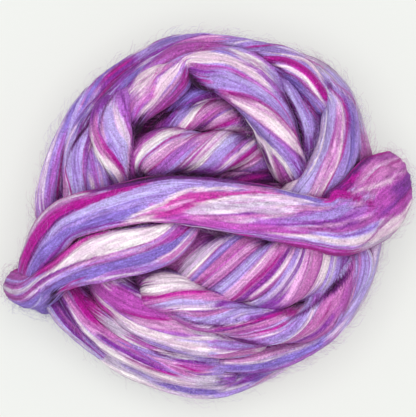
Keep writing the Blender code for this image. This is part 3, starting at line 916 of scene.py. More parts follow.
# ---- The twisted turns in the open eye of the nest.
# Real: two tightly twisted stretches of top, so their stripes run steeply across them. They
# lie side by side below the arch and go down under it at both ends.
comb_strand("inner_lower", 40, (
    (-40, 23, 54, 14, 14),
    (-34, 30, 60, 20, 16),
    (-24, 32.5, 64, 23, 18),
    (1, 32.5, 65, 21.5, 18),
    (25, 31, 59, 18, 16),
    (36, 25, 53, 15, 14),
), (
    # The plum here is dyed wool as well as painted shade, where the turn goes down under the
    # arch.
    ("plum", (0, 0, 300), (8, -50, 260), (13, -60, 60)),
    ("orchid", (11, 30, 110), (22, 10, 60), (34, -20, 40)),
    ("purple", (20, 24, 20), (30, 0, 20)),
    ("white", (11, -26, 12), (18, -18, 22), (26, -22, 20), (33, -36, 12)),
    ("magenta", (13, -38, 8), (22, -38, 6), (29, -41, 6), (35, -52, 8)),
    ("pink", (14, -58, 24), (24, -62, 36), (32, -68, 34), (37, -78, 20)),
    ("cream", (20, -50, 5), (28, -54, 6)),
    ("magenta", (13, -84, 8), (22, -85, 5), (30, -81, 5)),
    ("purple", (17, -98, 24), (28, -102, 36), (38, -100, 30)),
    ("lavender", (22, -118, 10), (34, -122, 12), (40, -118, 8)),
    ("violet", (24, -138, 30), (30, -150, 50), (36, -165, 30)),
    ("orchid", (34, -150, 12), (42, -142, 14), (48, -134, 10)),
    ("magenta", (38, -62, 24), (44, -82, 24), (50, -100, 18), (56, -112, 14)),
    ("cream", (38, -152, 6), (44, -144, 8), (50, -132, 9), (55, -126, 6)),
    ("magenta", (40, -160, 4), (46, -152, 5), (52, -142, 4)),
    ("white", (36, -184, 20), (42, -176, 24), (48, -162, 16), (55, -148, 9), (60, -142, 5)),
    ("lavender", (44, -194, 20), (50, -190, 50), (58, -186, 64), (64, -182, 56)),
    ("pale_blue", (48, -172, 16), (54, -170, 28), (60, -174, 26)),
    ("shadow", (32, -205, 30), (40, -225, 30), (48, -240, 20)),
    ("mauve", (52, -212, 10), (62, -210, 12)),
    ("cream", (52, -226, 8), (60, -228, 12), (66, -231, 16), (72, -232, 10)),
    ("magenta", (54, -242, 12), (58, -247, 18), (64, -255, 20), (70, -260, 22)),
    ("pink", (55, -262, 8), (64, -272, 10), (70, -278, 12)),
    ("hot_pink", (56, -282, 16), (64, -289, 14), (70, -292, 18)),
    ("pink", (58, -302, 20), (66, -304, 24), (72, -304, 20)),
    ("plum", (66, -212, 30), (70, -240, 20), (75, -300, 40)),
    ("purple", (66, -334, 26), (72, -336, 26)),
    ("mauve", (70, -356, 20), (78, -376, 40)),
))
comb_strand("inner_upper", 38, (
    (-29, 41.5, 52, 13, 13),
    (-18, 48, 57, 16, 15),
    (-6.5, 52, 59, 18, 15),
    (6, 52.5, 59, 18, 15),
    (18.5, 49, 56, 16, 14),
    (28.5, 43, 52, 14, 13),
), (
    # The plum here is dyed wool as well as painted shade, and the shadow is painted shade, where
    # the turn goes down under the arch.
    ("plum", (0, 0, 360), (14, -40, 260)),
    ("orchid", (0, 44, 40), (7, 8, 26), (12, -20, 14)),
    ("shadow", (6, 26, 30), (14, 4, 50), (19, -12, 40)),
    ("violet", (10, -26, 24), (15, -44, 24), (20, -34, 10)),
    ("lavender", (15, -56, 24), (20, -60, 34), (25, -74, 20)),
    ("white", (18, -98, 18), (26, -96, 30), (33, -92, 12)),
    ("magenta", (21, -122, 10), (24, -150, 60), (26, -170, 40)),
    ("rose", (25, -128, 30), (32, -134, 56), (38, -136, 50), (42, -146, 34)),
    ("pink", (27, -120, 10), (34, -124, 18), (40, -136, 18)),
    ("orchid", (27, -142, 14), (35, -146, 12)),
    ("violet", (26, -184, 34), (32, -176, 22), (37, -168, 10)),
    ("pink", (30, -198, 14), (36, -188, 26), (44, -186, 28)),
    ("cream", (36, -182, 8), (43, -180, 8)),
    ("magenta", (30, -212, 10), (38, -214, 14), (46, -222, 24)),
    ("plum", (40, -118, 14), (44, -160, 22), (48, -230, 26), (54, -290, 34)),
    ("pink", (42, -252, 30), (48, -292, 50)),
    ("mauve", (50, -322, 50), (58, -336, 50)),
))

# ---- The wide arches over the top of the eye.
# Real: loose, plump turns, the widest of them pinched where it folds over. White, cream and
# pale blue, with thin magenta lines that mark the edge of each lock.
comb_strand("left_knee", 16, (
    (-38, 63, 56, 14, 13),
    (-44.5, 54.5, 64, 19, 16),
    (-48, 43, 68, 21, 16),
    (-43.5, 25, 65, 14, 14),
    (-40, 16, 59, 10, 12),
), (
    ("purple", (4, 100, 110), (14, 104, 90), (24, 124, 50)),
    ("violet", (8, 84, 8), (16, 104, 6), (22, 124, 5)),
    ("violet", (6, 30, 80), (16, 10, 70), (24, -8, 40)),
    ("orchid", (18, 132, 40), (24, 140, 24)),
    ("plum", (20, 150, 8), (26, 138, 12), (32, 122, 22), (38, 104, 12), (44, 74, 12),
     (49, 50, 20)),
    ("orchid", (34, 136, 20), (42, 100, 30), (48, 78, 26), (54, 86, 40)),
    ("pale_blue", (16, 58, 26), (24, 58, 34), (34, 68, 50), (42, 56, 26), (46, 48, 10)),
    ("pale_lavender", (17, 76, 12), (23, 90, 24), (29, 97, 22), (34, 96, 12)),
    ("cream", (18, 68, 4), (22, 84, 7), (26, 96, 8)),
    ("lavender", (24, 44, 12), (34, 46, 16), (42, 46, 10)),
    ("plum", (9, 70, 6), (14, 54, 9), (20, 40, 8), (26, 28, 5)),
    ("rose", (27, 10, 16), (34, 10, 12), (42, 16, 9)),
    ("magenta", (25, 23, 7), (32, 24, 12), (38, 28, 15), (46, 38, 17)),
    ("mauve", (28, 2, 8), (34, -1, 8)),
    ("cream", (38, 6, 8), (46, 18, 14)),
    ("white", (26, 2, 4), (30, -14, 16), (36, -18, 30), (42, -18, 44), (47, -16, 50)),
    ("cream", (40, 2, 10), (47, 8, 14)),
    ("periwinkle", (48, -30, 60), (52, -30, 60)),
    ("plum", (47, 62, 20), (50, 56, 40), (56, 60, 40)),
))
comb_strand("big_arch", 14, (
    (-39, 43, 52, 12, 12),
    (-38.5, 50, 60, 17, 14),
    (-33.5, 57.5, 66, 21, 16),
    (-26, 64, 69, 22, 16),
    (-17.5, 69.5, 69, 18, 15),
    (-9.5, 75.5, 67, 11, 13),
    (0, 73.5, 71, 20, 16),
    (11, 69.5, 73, 21.5, 17),
    (30, 51, 74, 22, 17),
    (39.5, 29, 68, 18, 16),
    (41.5, 19, 61, 14, 14),
), (
    # The plum here is dyed wool as well as painted shade, and the shadow is painted shade, where
    # the arch comes up from under the other turns.
    ("plum", (0, -50, 120), (16, -40, 100), (20, -40, 60)),
    ("magenta", (0, -52, 50), (8, -52, 40)),
    ("shadow", (11, -46, 60), (18, -36, 70)),
    ("purple", (22, 40, 120), (30, 70, 100)),
    ("orchid", (21, -52, 60), (34, -60, 60), (46, -60, 60)),
    ("violet", (22, 92, 20), (29, 84, 20)),
    ("cream", (24, 46, 60), (33, 62, 70), (42, 74, 50), (47, 66, 24)),
    ("pink", (25, 30, 5), (30, 26, 6), (34, 34, 7), (39, 50, 8), (44, 48, 5)),
    ("mauve", (25, 66, 5), (31, 56, 6), (35, 50, 4)),
    ("pink", (24, 16, 12), (30, 14, 14), (34, 10, 10)),
    ("cream", (22, -8, 16), (30, -14, 18), (36, 0, 34), (43, 2, 30), (48, -4, 16)),
    ("pink", (26, -30, 14), (36, -30, 16), (44, -24, 12)),
    ("magenta", (19, 4, 3), (25, 7, 3), (29, 3, 4), (33, -6, 3)),
    ("rose", (24, 13, 4), (28, 5, 5), (31, -2, 6), (32.5, 8, 8), (34.5, 26, 9), (37, 54, 9),
     (40, 70, 6)),
    ("hot_pink", (32, 6, 3), (34.5, 25, 4), (37, 50, 3)),
    ("magenta", (24, -74, 14), (31, -74, 12), (38, -84, 10)),
    ("lavender", (36, -46, 8), (42, -40, 6)),
    ("magenta", (44, -46, 26), (49, -40, 60)),
    ("periwinkle", (40, -100, 24), (47, -100, 34)),
    ("lavender", (44, 54, 20), (49, 36, 40), (54, 18, 20)),
    ("cream", (49, -10, 24), (54, -34, 60), (60, -14, 50), (70, -20, 24), (82, -27, 16),
     (94, -36, 8)),
    ("pink", (54, -56, 24), (60, -46, 12)),
    ("mauve", (54, 20, 10), (58, 14, 12)),
    ("periwinkle", (63, 8, 16), (70, 0, 18), (74, -6, 8)),
    ("grey", (74, 4, 18), (82, 0, 18)),
    ("purple", (84, -6, 26), (92, -14, 22), (100, -22, 14)),
    ("orchid", (58, -42, 5), (70, -43, 6), (82, -40, 5), (96, -42, 3)),
    ("mauve", (60, -53, 12), (68, -50, 9), (76, -46, 4)),
    ("plum", (55, -84, 40), (60, -96, 50), (64, -110, 30)),
    ("lavender", (63, -84, 50), (72, -84, 64), (80, -76, 50), (90, -66, 38), (102, -64, 24),
     (112, -68, 10)),
    ("pale_blue", (72, -66, 20), (84, -58, 18), (96, -54, 14)),
    ("periwinkle", (70, -128, 20), (78, -120, 12)),
    ("plum", (99, -24, 18), (106, -28, 26), (114, -46, 24), (120, -58, 18)),
    ("periwinkle", (108, -26, 14), (118, -38, 20), (124, -54, 20)),
    ("violet", (122, -66, 14), (127, -92, 14), (131, -118, 14)),
    ("plum", (120, -92, 8), (125, -108, 14), (131, -122, 22)),
    ("magenta", (78, -116, 20), (84, -103, 11), (92, -93, 6), (104, -84, 4), (113, -77, 3)),
    ("mauve", (77, -132, 30), (84, -142, 28), (90, -150, 10)),
    ("pink", (82, -118, 20), (90, -113, 36), (100, -110, 46), (110, -104, 42), (118, -98, 34),
     (126, -92, 22)),
    ("cream", (84, -124, 9), (92, -118, 16), (100, -116, 24), (110, -109, 26), (120, -99, 18),
     (126, -92, 10)),
    ("cream", (94, -96, 3), (106, -87, 4), (116, -80, 4)),
    ("lavender", (90, -168, 66), (100, -164, 58), (110, -151, 48), (120, -136, 36),
     (129, -132, 38)),
    ("lavender", (92, -190, 30), (106, -184, 24)),
    ("periwinkle", (96, -160, 6), (108, -160, 8), (113, -150, 6)),
    ("purple", (106, -134, 6), (118, -121, 8), (126, -114, 8)),
    ("white", (107, -206, 24), (111, -184, 20), (117, -165, 20), (125, -161, 18),
     (132, -166, 12)),
    ("mauve", (118, -186, 14), (126, -184, 22), (136, -200, 50)),
    ("rose", (124, -198, 14), (134, -214, 20)),
    ("plum", (114, -212, 20), (120, -220, 22), (128, -228, 18)),
    # The plum and shadow below are painted shade: the dark gap at the arch's upper left and the
    # shade along its right side.
    ("violet", (54, -66, 22), (62, -66, 14), (68, -64, 8)),
    ("plum", (54, -92, 50), (60, -102, 50), (66, -122, 44), (72, -132, 30)),
    ("shadow", (55, -96, 26), (60, -106, 36), (66, -124, 30), (71, -134, 18)),
    ("plum", (96, -18, 8), (103, -25, 16), (110, -34, 18), (117, -50, 16), (124, -62, 14)),
    ("shadow", (100, -22, 5), (108, -30, 9), (116, -46, 9), (122, -58, 8)),
))
comb_strand("upper_right_inner", 2, (
    (30, 77, 48, 12, 13),
    (39, 68, 55, 14, 14),
    (50, 46.5, 57, 16, 14),
    (51.5, 35, 56, 15, 14),
    (49, 23, 53, 13, 13),
), (
    ("lavender", (0, 40, 140), (60, 40, 140)),
    ("pale_blue", (20, 22, 24), (32, 22, 26), (44, 18, 24)),
    ("lavender", (24, 44, 30), (36, 44, 26)),
    ("orchid", (26, 48, 6), (34, 50, 6)),
    # The plum and shadow here are painted shade along the gap beside the wide arch.
    ("plum", (18, 4, 14), (28, 6, 22), (38, 0, 26), (48, -6, 30)),
    ("shadow", (24, 2, 8), (32, 0, 14), (42, -8, 14), (50, -10, 16)),
    ("mauve", (25, 58, 8), (32, 66, 14), (38, 76, 18)),
    ("plum", (38, 72, 12), (43, 52, 14), (47, 36, 8)),
    ("lavender", (40, 92, 14), (47, 62, 14)),
    ("violet", (48, 16, 40), (56, 16, 40)),
))
comb_strand("magenta_curl", 8, (
    (24, 77, 50, 11, 12),
    (31, 78, 55, 12, 13),
    (46, 71.5, 61, 13, 14),
    (56, 59, 60, 12, 13),
    (58.5, 52, 57, 10, 12),
), (
    ("lavender", (0, 70, 120), (20, 90, 70), (50, 80, 70)),
    ("cream", (10, 50, 8), (18, 66, 10), (26, 84, 26), (36, 70, 40)),
    ("plum", (5, 20, 50), (11, 12, 20), (16, -4, 16), (21, -18, 12), (26, -20, 6)),
    ("magenta", (9, 18, 18), (15, 26, 32), (22, 34, 42), (30, 28, 40), (38, 12, 32),
     (45, -6, 18)),
    ("hot_pink", (18, 50, 10), (28, 46, 12), (36, 30, 10)),
    ("cream", (16, 0, 8), (21, 4, 16), (30, -2, 18), (36, -10, 17), (43, -17, 10)),
    ("white", (19, 3, 6), (26, 2, 8), (34, -6, 7)),
    ("mauve", (22, -14, 6), (30, -20, 12), (40, -25, 10)),
    ("periwinkle", (20, -44, 30), (27, -46, 34), (34, -46, 20)),
    ("lavender", (33, -46, 34), (45, -48, 34)),
    ("magenta", (34, -70, 6), (42, -76, 12), (49, -86, 14)),
    ("lavender", (26, -78, 14), (34, -84, 8)),
))
comb_strand("right_arch", 10, (
    (52, 74, 46, 12, 13),
    (60, 64.5, 55, 15, 14),
    (65.5, 53, 61, 18, 15),
    (62.5, 27, 66, 22, 16),
    (45, 9, 67, 18, 15),
    (33.5, 3, 63, 14, 14),
), (
    ("pale_blue", (0, 70, 120), (12, 74, 120), (22, 80, 90)),
    ("grey", (0, 66, 130), (6, 66, 130)),
    ("grey", (4, 56, 30), (12, 54, 24), (18, 60, 16)),
    ("rose", (0, 78, 8), (7, 80, 8)),
    ("lavender", (26, 60, 120), (44, 62, 110), (70, 56, 100), (80, 40, 80)),
    ("rose", (17, 44, 14), (21, 64, 18), (25, 92, 24)),
    ("cream", (20, 34, 5), (24, 62, 6), (30, 100, 8)),
    ("plum", (15, 26, 16), (19, 14, 18), (24, 4, 10)),
    ("periwinkle", (27, 44, 14), (34, 56, 30), (46, 48, 24), (56, 40, 12)),
    ("violet", (26, 40, 16), (34, 44, 18), (42, 34, 10)),
    ("pale_blue", (24, -40, 120), (40, -60, 120), (60, -70, 110), (74, -50, 70), (82, -40, 50)),
    ("white", (30, -40, 8), (42, -58, 10), (56, -64, 10), (70, -52, 8)),
    ("pale_lavender", (34, -70, 20), (48, -84, 20), (62, -84, 18), (72, -68, 10)),
    ("magenta", (22, 12, 7), (27, 27, 10), (33, 32, 12), (42, 22, 10), (50, 11, 8), (58, 6, 7),
     (67, 14, 7), (75, 28, 8)),
    ("pink", (23, 6, 6), (30, 20, 10), (38, 12, 14), (46, 3, 14), (56, -4, 20), (66, 0, 14),
     (75, 16, 16)),
    ("cream", (25, 10, 3), (32, 20, 4), (42, 8, 5), (52, 2, 5), (62, 2, 4), (74, 14, 5)),
    ("pink", (28, 8, 10), (38, -2, 12), (47, -14, 14), (56, -20, 16), (66, -16, 14),
     (76, -2, 14), (82, -12, 24)),
    ("mauve", (34, -1, 6), (42, -12, 8), (50, -24, 8), (58, -34, 6), (66, -28, 5), (74, -14, 4)),
    ("mauve", (30, 13, 4), (40, 3, 4), (50, -8, 4), (60, -12, 4), (70, -4, 4)),
    ("violet", (23, -26, 8), (27, -50, 18)),
    ("plum", (53, 94, 26), (60, 88, 34), (66, 80, 24)),
    ("orchid", (66, 64, 24), (73, 52, 40)),
    ("orchid", (62, -102, 16), (68, -90, 14), (73, -74, 8), (79, -64, 5)),
    ("cream", (75, -78, 14), (82, -92, 40), (88, -100, 60)),
    ("violet", (40, -97, 10), (43, -98, 12)),
))

# ---- The turns between the eye's crown and the bottom rim.
# Real: a broad, steeply twisted stretch, a twisted run with a round white head, and a soft
# pink one below it. They come out from under the crown and go down at the right.
comb_strand("lower_pink", 8, (
    (-54, -24, 56, 20, 14),
    (-47, -36, 60, 23, 15),
    (-25.5, -51, 62, 24, 15),
    (1, -60, 57, 20, 15),
    (26, -62, 48, 12, 13),
    (35, -61, 43, 9, 12),
), (
    ("mauve", (0, 60, 140), (12, 70, 110), (16, 100, 60)),
    ("pale_lavender", (12, 120, 50), (16, 160, 90), (18, 190, 40)),
    ("plum", (17, 196, 50), (24, 196, 50), (30, 174, 40)),
    ("violet", (17, 148, 50), (25, 150, 46), (31, 146, 20)),
    ("lavender", (18, 136, 10), (24, 140, 8)),
    ("orchid", (11, 90, 50), (20, 96, 62), (30, 92, 50), (40, 98, 24), (46, 104, 10)),
    ("magenta", (23, 66, 10), (30, 70, 11), (38, 82, 10), (47, 98, 8)),
    ("magenta", (11, 24, 30), (17, 24, 36), (21, 26, 30), (24, 28, 14)),
    ("pale_lavender", (30, 20, 60), (50, 20, 60), (72, 20, 60)),
    ("grey", (23, 24, 20), (29, 14, 26), (34, 10, 16)),
    ("cream", (12, 54, 10), (20, 52, 14), (26, 44, 16), (34, 38, 17), (46, 38, 18), (60, 32, 20),
     (71, 30, 12)),
    ("pink", (30, 56, 16), (38, 64, 24), (46, 74, 24), (54, 78, 18), (60, 70, 10)),
    ("rose", (36, 72, 3), (46, 84, 4), (52, 84, 3)),
    ("rose", (38, 56, 3), (48, 64, 3), (54, 76, 3)),
    ("violet", (35, 12, 10), (40, 14, 10)),
    ("lavender", (40, 14, 14), (50, 10, 18), (60, 4, 14)),
    ("white", (49, 48, 8), (56, 54, 10), (64, 64, 12), (71, 74, 8)),
    ("pale_blue", (54, 42, 6), (62, 52, 6), (68, 60, 6), (70, 14, 20), (75, 10, 20)),
    ("grey", (58, 82, 12), (68, 80, 14), (76, 68, 14)),
    ("plum", (68, 89, 4), (76, 76, 5)),
    ("lavender", (73, 54, 32), (82, 54, 26), (92, 50, 12)),
    ("mauve", (76, 62, 4), (86, 58, 6), (95, 52, 8)),
    ("mauve", (71, 10, 8), (78, 22, 7), (87, 34, 8), (96, 46, 12)),
    ("rose", (73, 0, 22), (82, 8, 30), (92, 24, 24)),
    ("pink", (78, -4, 10), (88, 14, 8)),
))
comb_strand("lower_twisted", 32, (
    (-29, -32, 58, 15, 14),
    (-25, -35, 70, 20, 16),
    (-14, -39, 74, 20.5, 16),
    (-0.5, -45.5, 73, 20, 16),
    (28.5, -53, 67, 18, 16),
    (42, -53, 64, 18, 16),
    (55, -47, 61, 20, 16),
    (72, -26, 58, 18, 15),
    (75, -13.5, 54, 16, 14),
), (
    ("plum", (0, 90, 200), (10, 100, 160), (20, 130, 90)),
    ("mauve", (4, 90, 50), (10, 74, 40)),
    ("white", (11, 44, 30), (16, 60, 76), (24, 58, 74), (33, 54, 56)),
    ("pink", (32, 66, 50), (36, 50, 40)),
    ("violet", (36, 34, 20), (42, 8, 24), (50, -24, 18)),
    ("orchid", (14, -20, 80), (22, -60, 60), (28, -84, 40)),
    ("magenta", (11, 22, 18), (18, 13, 15), (28, 9, 15), (38, 8, 12)),
    ("hot_pink", (20, 5, 4), (30, 2, 6), (38, -4, 6)),
    ("pale_blue", (18, -16, 16), (26, -20, 22), (34, -26, 20), (42, -40, 14)),
    ("pale_lavender", (22, -34, 12), (32, -38, 16), (40, -42, 12)),
    ("rose", (20, -44, 8), (30, -56, 12), (40, -70, 14), (50, -70, 10)),
    ("white", (27, -47, 5), (36, -46, 6), (45, -58, 5)),
    ("lavender", (30, -72, 14), (38, -88, 24), (48, -94, 28), (56, -84, 30), (62, -100, 30),
     (68, -118, 18)),
    ("pale_blue", (36, -82, 8), (46, -88, 12), (56, -92, 12), (62, -104, 10)),
    ("lavender", (50, -56, 16), (58, -64, 18), (64, -84, 14)),
    ("lavender", (48, -110, 12), (57, -117, 18), (66, -128, 16)),
    ("plum", (24, -56, 8), (34, -84, 7), (44, -108, 8), (52, -130, 12)),
    ("mauve", (28, -94, 30), (36, -112, 30), (44, -130, 24)),
    ("violet", (60, -120, 10), (68, -134, 10), (78, -142, 12)),
    ("magenta", (46, -126, 5), (53, -134, 10), (62, -142, 11), (72, -147, 12), (82, -152, 16)),
    ("rose", (50, -148, 12), (60, -158, 16), (70, -164, 14), (76, -170, 10)),
    ("pink", (58, -152, 5), (68, -158, 5)),
    ("mauve", (52, -172, 20), (62, -176, 16), (74, -180, 10)),
    ("magenta", (54, -189, 6), (64, -191, 7), (74, -195, 10), (82, -196, 14)),
    ("magenta", (78, -150, 14), (84, -176, 40), (88, -190, 30)),
    ("orchid", (82, -150, 14), (88, -154, 16), (92, -156, 14)),
    ("rose", (56, -200, 8), (66, -202, 8), (76, -204, 6)),
    ("plum", (50, -206, 30), (58, -216, 24), (66, -228, 20), (74, -254, 22)),
    ("cream", (68, -210, 5), (77, -213, 5)),
    ("lavender", (70, -226, 18), (80, -230, 26), (90, -226, 22), (98, -236, 14)),
    ("lavender", (92, -176, 20), (97, -200, 26)),
    ("plum", (82, -192, 8), (90, -218, 12), (98, -248, 12), (106, -274, 18)),
    ("cream", (76, -264, 7), (84, -254, 9), (94, -248, 9), (98, -256, 4)),
    ("rose", (80, -278, 20), (90, -280, 40), (100, -294, 50), (108, -320, 44), (114, -350, 30)),
    ("magenta", (82, -270, 3), (92, -264, 4)),
    ("magenta", (95, -288, 4), (101, -302, 5), (106, -312, 4)),
    ("pink", (86, -292, 8), (96, -310, 8)),
    ("mauve", (84, -326, 26), (94, -340, 24), (104, -354, 24)),
    ("rose", (88, -322, 10), (98, -336, 10), (108, -350, 10)),
    ("mauve", (104, -340, 20), (110, -366, 44), (118, -372, 34), (124, -392, 20)),
    ("pink", (108, -392, 24), (116, -402, 24)),
    ("pale_blue", (121, -332, 10), (126, -352, 18), (131, -374, 16)),
    # The plum and shadow here are painted shade: the deep patch where the turn goes under.
    ("plum", (104, -268, 12), (110, -292, 26), (116, -322, 38), (121, -352, 24), (127, -380, 8)),
    ("shadow", (110, -294, 8), (116, -322, 18), (120, -346, 8)),
    ("lavender", (112, -426, 30), (122, -426, 40), (134, -430, 40)),
    ("pale_blue", (112, -452, 30), (120, -456, 50), (134, -470, 60)),
    ("grey", (122, -474, 16), (134, -484, 18)),
))
comb_strand("centre_twisted", 48, (
    (-33, -22, 58, 17, 14),
    (-17, -20, 65, 25, 17),
    (-1.5, -22, 70, 31, 18),
    (16, -25.5, 72, 35, 18),
    (33.5, -27.5, 71, 34, 18),
    (50, -24, 67, 32, 18),
    (63.5, -14, 61, 27, 16),
    (71, -2, 55, 24, 16),
), (
    ("mauve", (0, -40, 100), (36, -70, 60)),
    ("rose", (14, -50, 26), (30, -76, 20)),
    ("pale_lavender", (24, -92, 30), (40, -98, 34)),
    ("violet", (34, -70, 40), (40, -80, 50), (44, -110, 20)),
    ("grey", (22, -96, 10), (34, -100, 14)),
    ("white", (28, -116, 7), (38, -118, 8)),
    ("periwinkle", (28, -134, 18), (56, -134, 18)),
    ("lavender", (32, -130, 8), (48, -134, 8)),
    ("rose", (30, -157, 10), (44, -158, 9), (56, -160, 7)),
    ("magenta", (32, -158, 4), (40, -163, 5), (47, -170, 3)),
    ("orchid", (30, -167, 6), (58, -166, 6)),
    ("pink", (36, -178, 14), (58, -176, 18)),
    ("rose", (34, -188, 10), (58, -188, 10)),
    ("plum", (34, -196, 4), (48, -195, 3), (60, -192, 2)),
    ("lavender", (36, -212, 30), (66, -210, 30)),
    ("pale_blue", (42, -208, 12), (62, -212, 14)),
    ("pink", (46, -236, 18), (72, -236, 18)),
    ("cream", (58, -232, 5), (70, -238, 5)),
    ("magenta", (48, -250, 7), (56, -254, 10), (64, -260, 9), (72, -268, 5)),
    ("plum", (48, -276, 30), (54, -282, 36), (60, -300, 20)),
    ("violet", (54, -272, 16), (64, -275, 16), (78, -282, 16)),
    ("magenta", (60, -270, 4), (70, -276, 4)),
    ("mauve", (58, -296, 14), (66, -300, 14), (72, -300, 8)),
    ("cream", (60, -288, 4), (68, -290, 6), (76, -293, 5)),
    ("plum", (62, -304, 4), (70, -306, 4)),
    ("lavender", (60, -318, 16), (70, -312, 18), (84, -304, 20)),
    ("pale_lavender", (66, -320, 10), (84, -318, 12)),
    ("violet", (64, -328, 4), (74, -325, 3), (86, -325, 3)),
    ("cream", (72, -334, 5), (80, -338, 6), (86, -334, 5)),
    ("pink", (72, -352, 24), (92, -350, 26)),
    ("mauve", (74, -362, 4), (82, -352, 4), (90, -346, 3)),
    ("violet", (66, -348, 20), (72, -366, 16), (76, -380, 12)),
    ("rose", (74, -376, 26), (96, -374, 26)),
    ("mauve", (76, -392, 8), (94, -390, 8)),
    ("pink", (80, -404, 12), (87, -404, 12)),
    ("cream", (87, -414, 18), (98, -412, 20)),
    ("white", (89, -419, 9), (97, -420, 8)),
    ("lavender", (82, -446, 40), (108, -448, 44)),
    ("grey", (88, -436, 8), (102, -444, 10)),
))

# ---- The pass under the nest that ends in the bulge at the left.
# Real: the roving comes up from below at the left end and goes into the first crown pass.
comb_strand("base_pass", 5, (
    (56, -12, 10, 16, 13),
    (26, -22, 6, 20, 15),
    (-15, -29, 6, 20, 15),
    (-52, -37, 7, 18, 15),
    (-72, -40, 14, 16, 15),
    (-79, -39, 26, 13, 13),
    (-79, -35, 37, 10, 11),
    (-73, -30, 46, 6, 7),
), (
    ("periwinkle", (120, 90, 300), (170, 90, 300)),
    ("lavender", (120, 130, 60), (170, 130, 60)),
))

# ---- The last two passes, over the crown from edge to edge.
# Real: the wool top's free end, combed flat and laid twice over the nest. Broad stripes of
# white, periwinkle and magenta run along it, and it fans out down the right flank.
comb_strand("tail_pass", 5, (
    (30, 3, 6, 22, 15),
    (-20, -4, 6, 22, 15),
    (-58, -15, 7.5, 20, 15),
    (-83, -28, 15, 18, 15),
    (-93, -34, 30, 17, 15),
    (-94, -35, 45, 17.5, 15),
    (-86, -36, 58, 18, 15),
    (-72.3, -27, 69, 16.5, 15),
    (-54, -18.5, 78, 24, 15),
    (-21.5, -12, 84, 20, 15),
    (-4, 1, 74, 8, 10),
), (
    ("mauve", (128, 60, 150), (150, 60, 150), (166, 50, 90)),
    ("periwinkle", (140, -70, 100), (160, -76, 100), (180, -86, 90)),
    ("magenta", (135, 104, 24), (148, 98, 24), (156, 90, 16)),
    ("orchid", (174, 74, 30), (200, 60, 40), (224, 56, 30)),
    ("mauve", (152, 50, 50), (166, 40, 50), (180, 36, 30)),
    ("lavender", (150, 46, 10), (164, 46, 14), (178, 34, 12)),
    ("grey", (150, 24, 12), (160, 12, 14), (172, 4, 12), (182, 2, 8)),
    ("mauve", (156, -6, 18), (168, -14, 16), (178, -10, 10)),
    ("plum", (152, 36, 5), (162, 30, 6), (172, 22, 4)),
    ("violet", (168, -26, 10), (176, -26, 14), (184, -34, 12)),
    ("pale_blue", (160, -88, 12), (168, -66, 8), (176, -50, 8)),
    ("magenta", (180, 22, 16), (190, 17, 34), (202, 15, 42), (212, 22, 36), (222, 33, 20),
     (230, 40, 10)),
    ("hot_pink", (188, 12, 8), (200, 8, 8), (210, 14, 8)),
    ("pink", (182, 0, 6), (194, -2, 6), (206, 2, 7), (218, 12, 8), (230, 22, 8)),
    ("white", (182, -4, 5), (190, -8, 9), (199, -12, 20), (210, -14, 40), (220, -13, 52),
     (232, -12, 54), (242, -12, 46), (250, -10, 30), (258, -12, 8)),
    ("cream", (192, -4, 3), (204, -2, 4), (216, 9, 5)),
    ("mauve", (176, -12, 5), (186, -16, 5), (196, -24, 5), (208, -34, 6), (222, -38, 5),
     (240, -34, 5), (252, -24, 5)),
    ("pink", (196, -28, 5), (210, -40, 5), (228, -44, 6), (244, -40, 6), (254, -30, 6)),
    ("violet", (182, -8, 4), (190, -15, 6), (200, -26, 4)),
    ("lavender", (180, -34, 14), (188, -38, 20), (198, -42, 18), (212, -52, 12)),
    ("pale_lavender", (170, -18, 5), (182, -24, 5), (192, -30, 4)),
    ("mauve", (206, -48, 6), (220, -54, 6), (236, -50, 6), (250, -44, 8)),
    ("plum", (180, -42, 6), (192, -50, 6), (202, -57, 6), (212, -60, 4), (226, -60, 4)),
    ("periwinkle", (180, -60, 30), (196, -66, 24), (212, -74, 28), (228, -76, 30),
     (242, -72, 28), (254, -62, 20)),
    ("lavender", (214, -88, 10), (228, -90, 10), (244, -84, 8)),
    # The shadow here is painted shade in the gap along the tail's lower side.
    ("shadow", (178, -98, 46), (183, -88, 62), (187, -94, 50)),
    ("magenta", (191, -96, 50), (198, -98, 52)),
    ("purple", (200, -102, 34), (216, -102, 34), (236, -104, 24)),
    ("pale_lavender", (204, -92, 8), (214, -100, 10), (232, -106, 8)),
    ("orchid", (246, -44, 20), (256, -50, 34), (264, -62, 50), (271, -80, 90)),
    ("magenta", (250, -56, 8), (257, -62, 10), (264, -74, 12), (271, -90, 20)),
    ("violet", (254, -46, 6), (262, -52, 8)),
    ("cream", (241, -84, 5), (250, -82, 5), (258, -86, 5), (264, -92, 5)),
    ("rose", (240, -94, 14), (252, -94, 12), (262, -102, 12)),
    ("cream", (246, -102, 5), (256, -104, 5)),
    ("mauve", (242, -116, 18), (256, -116, 16), (266, -112, 24)),
))
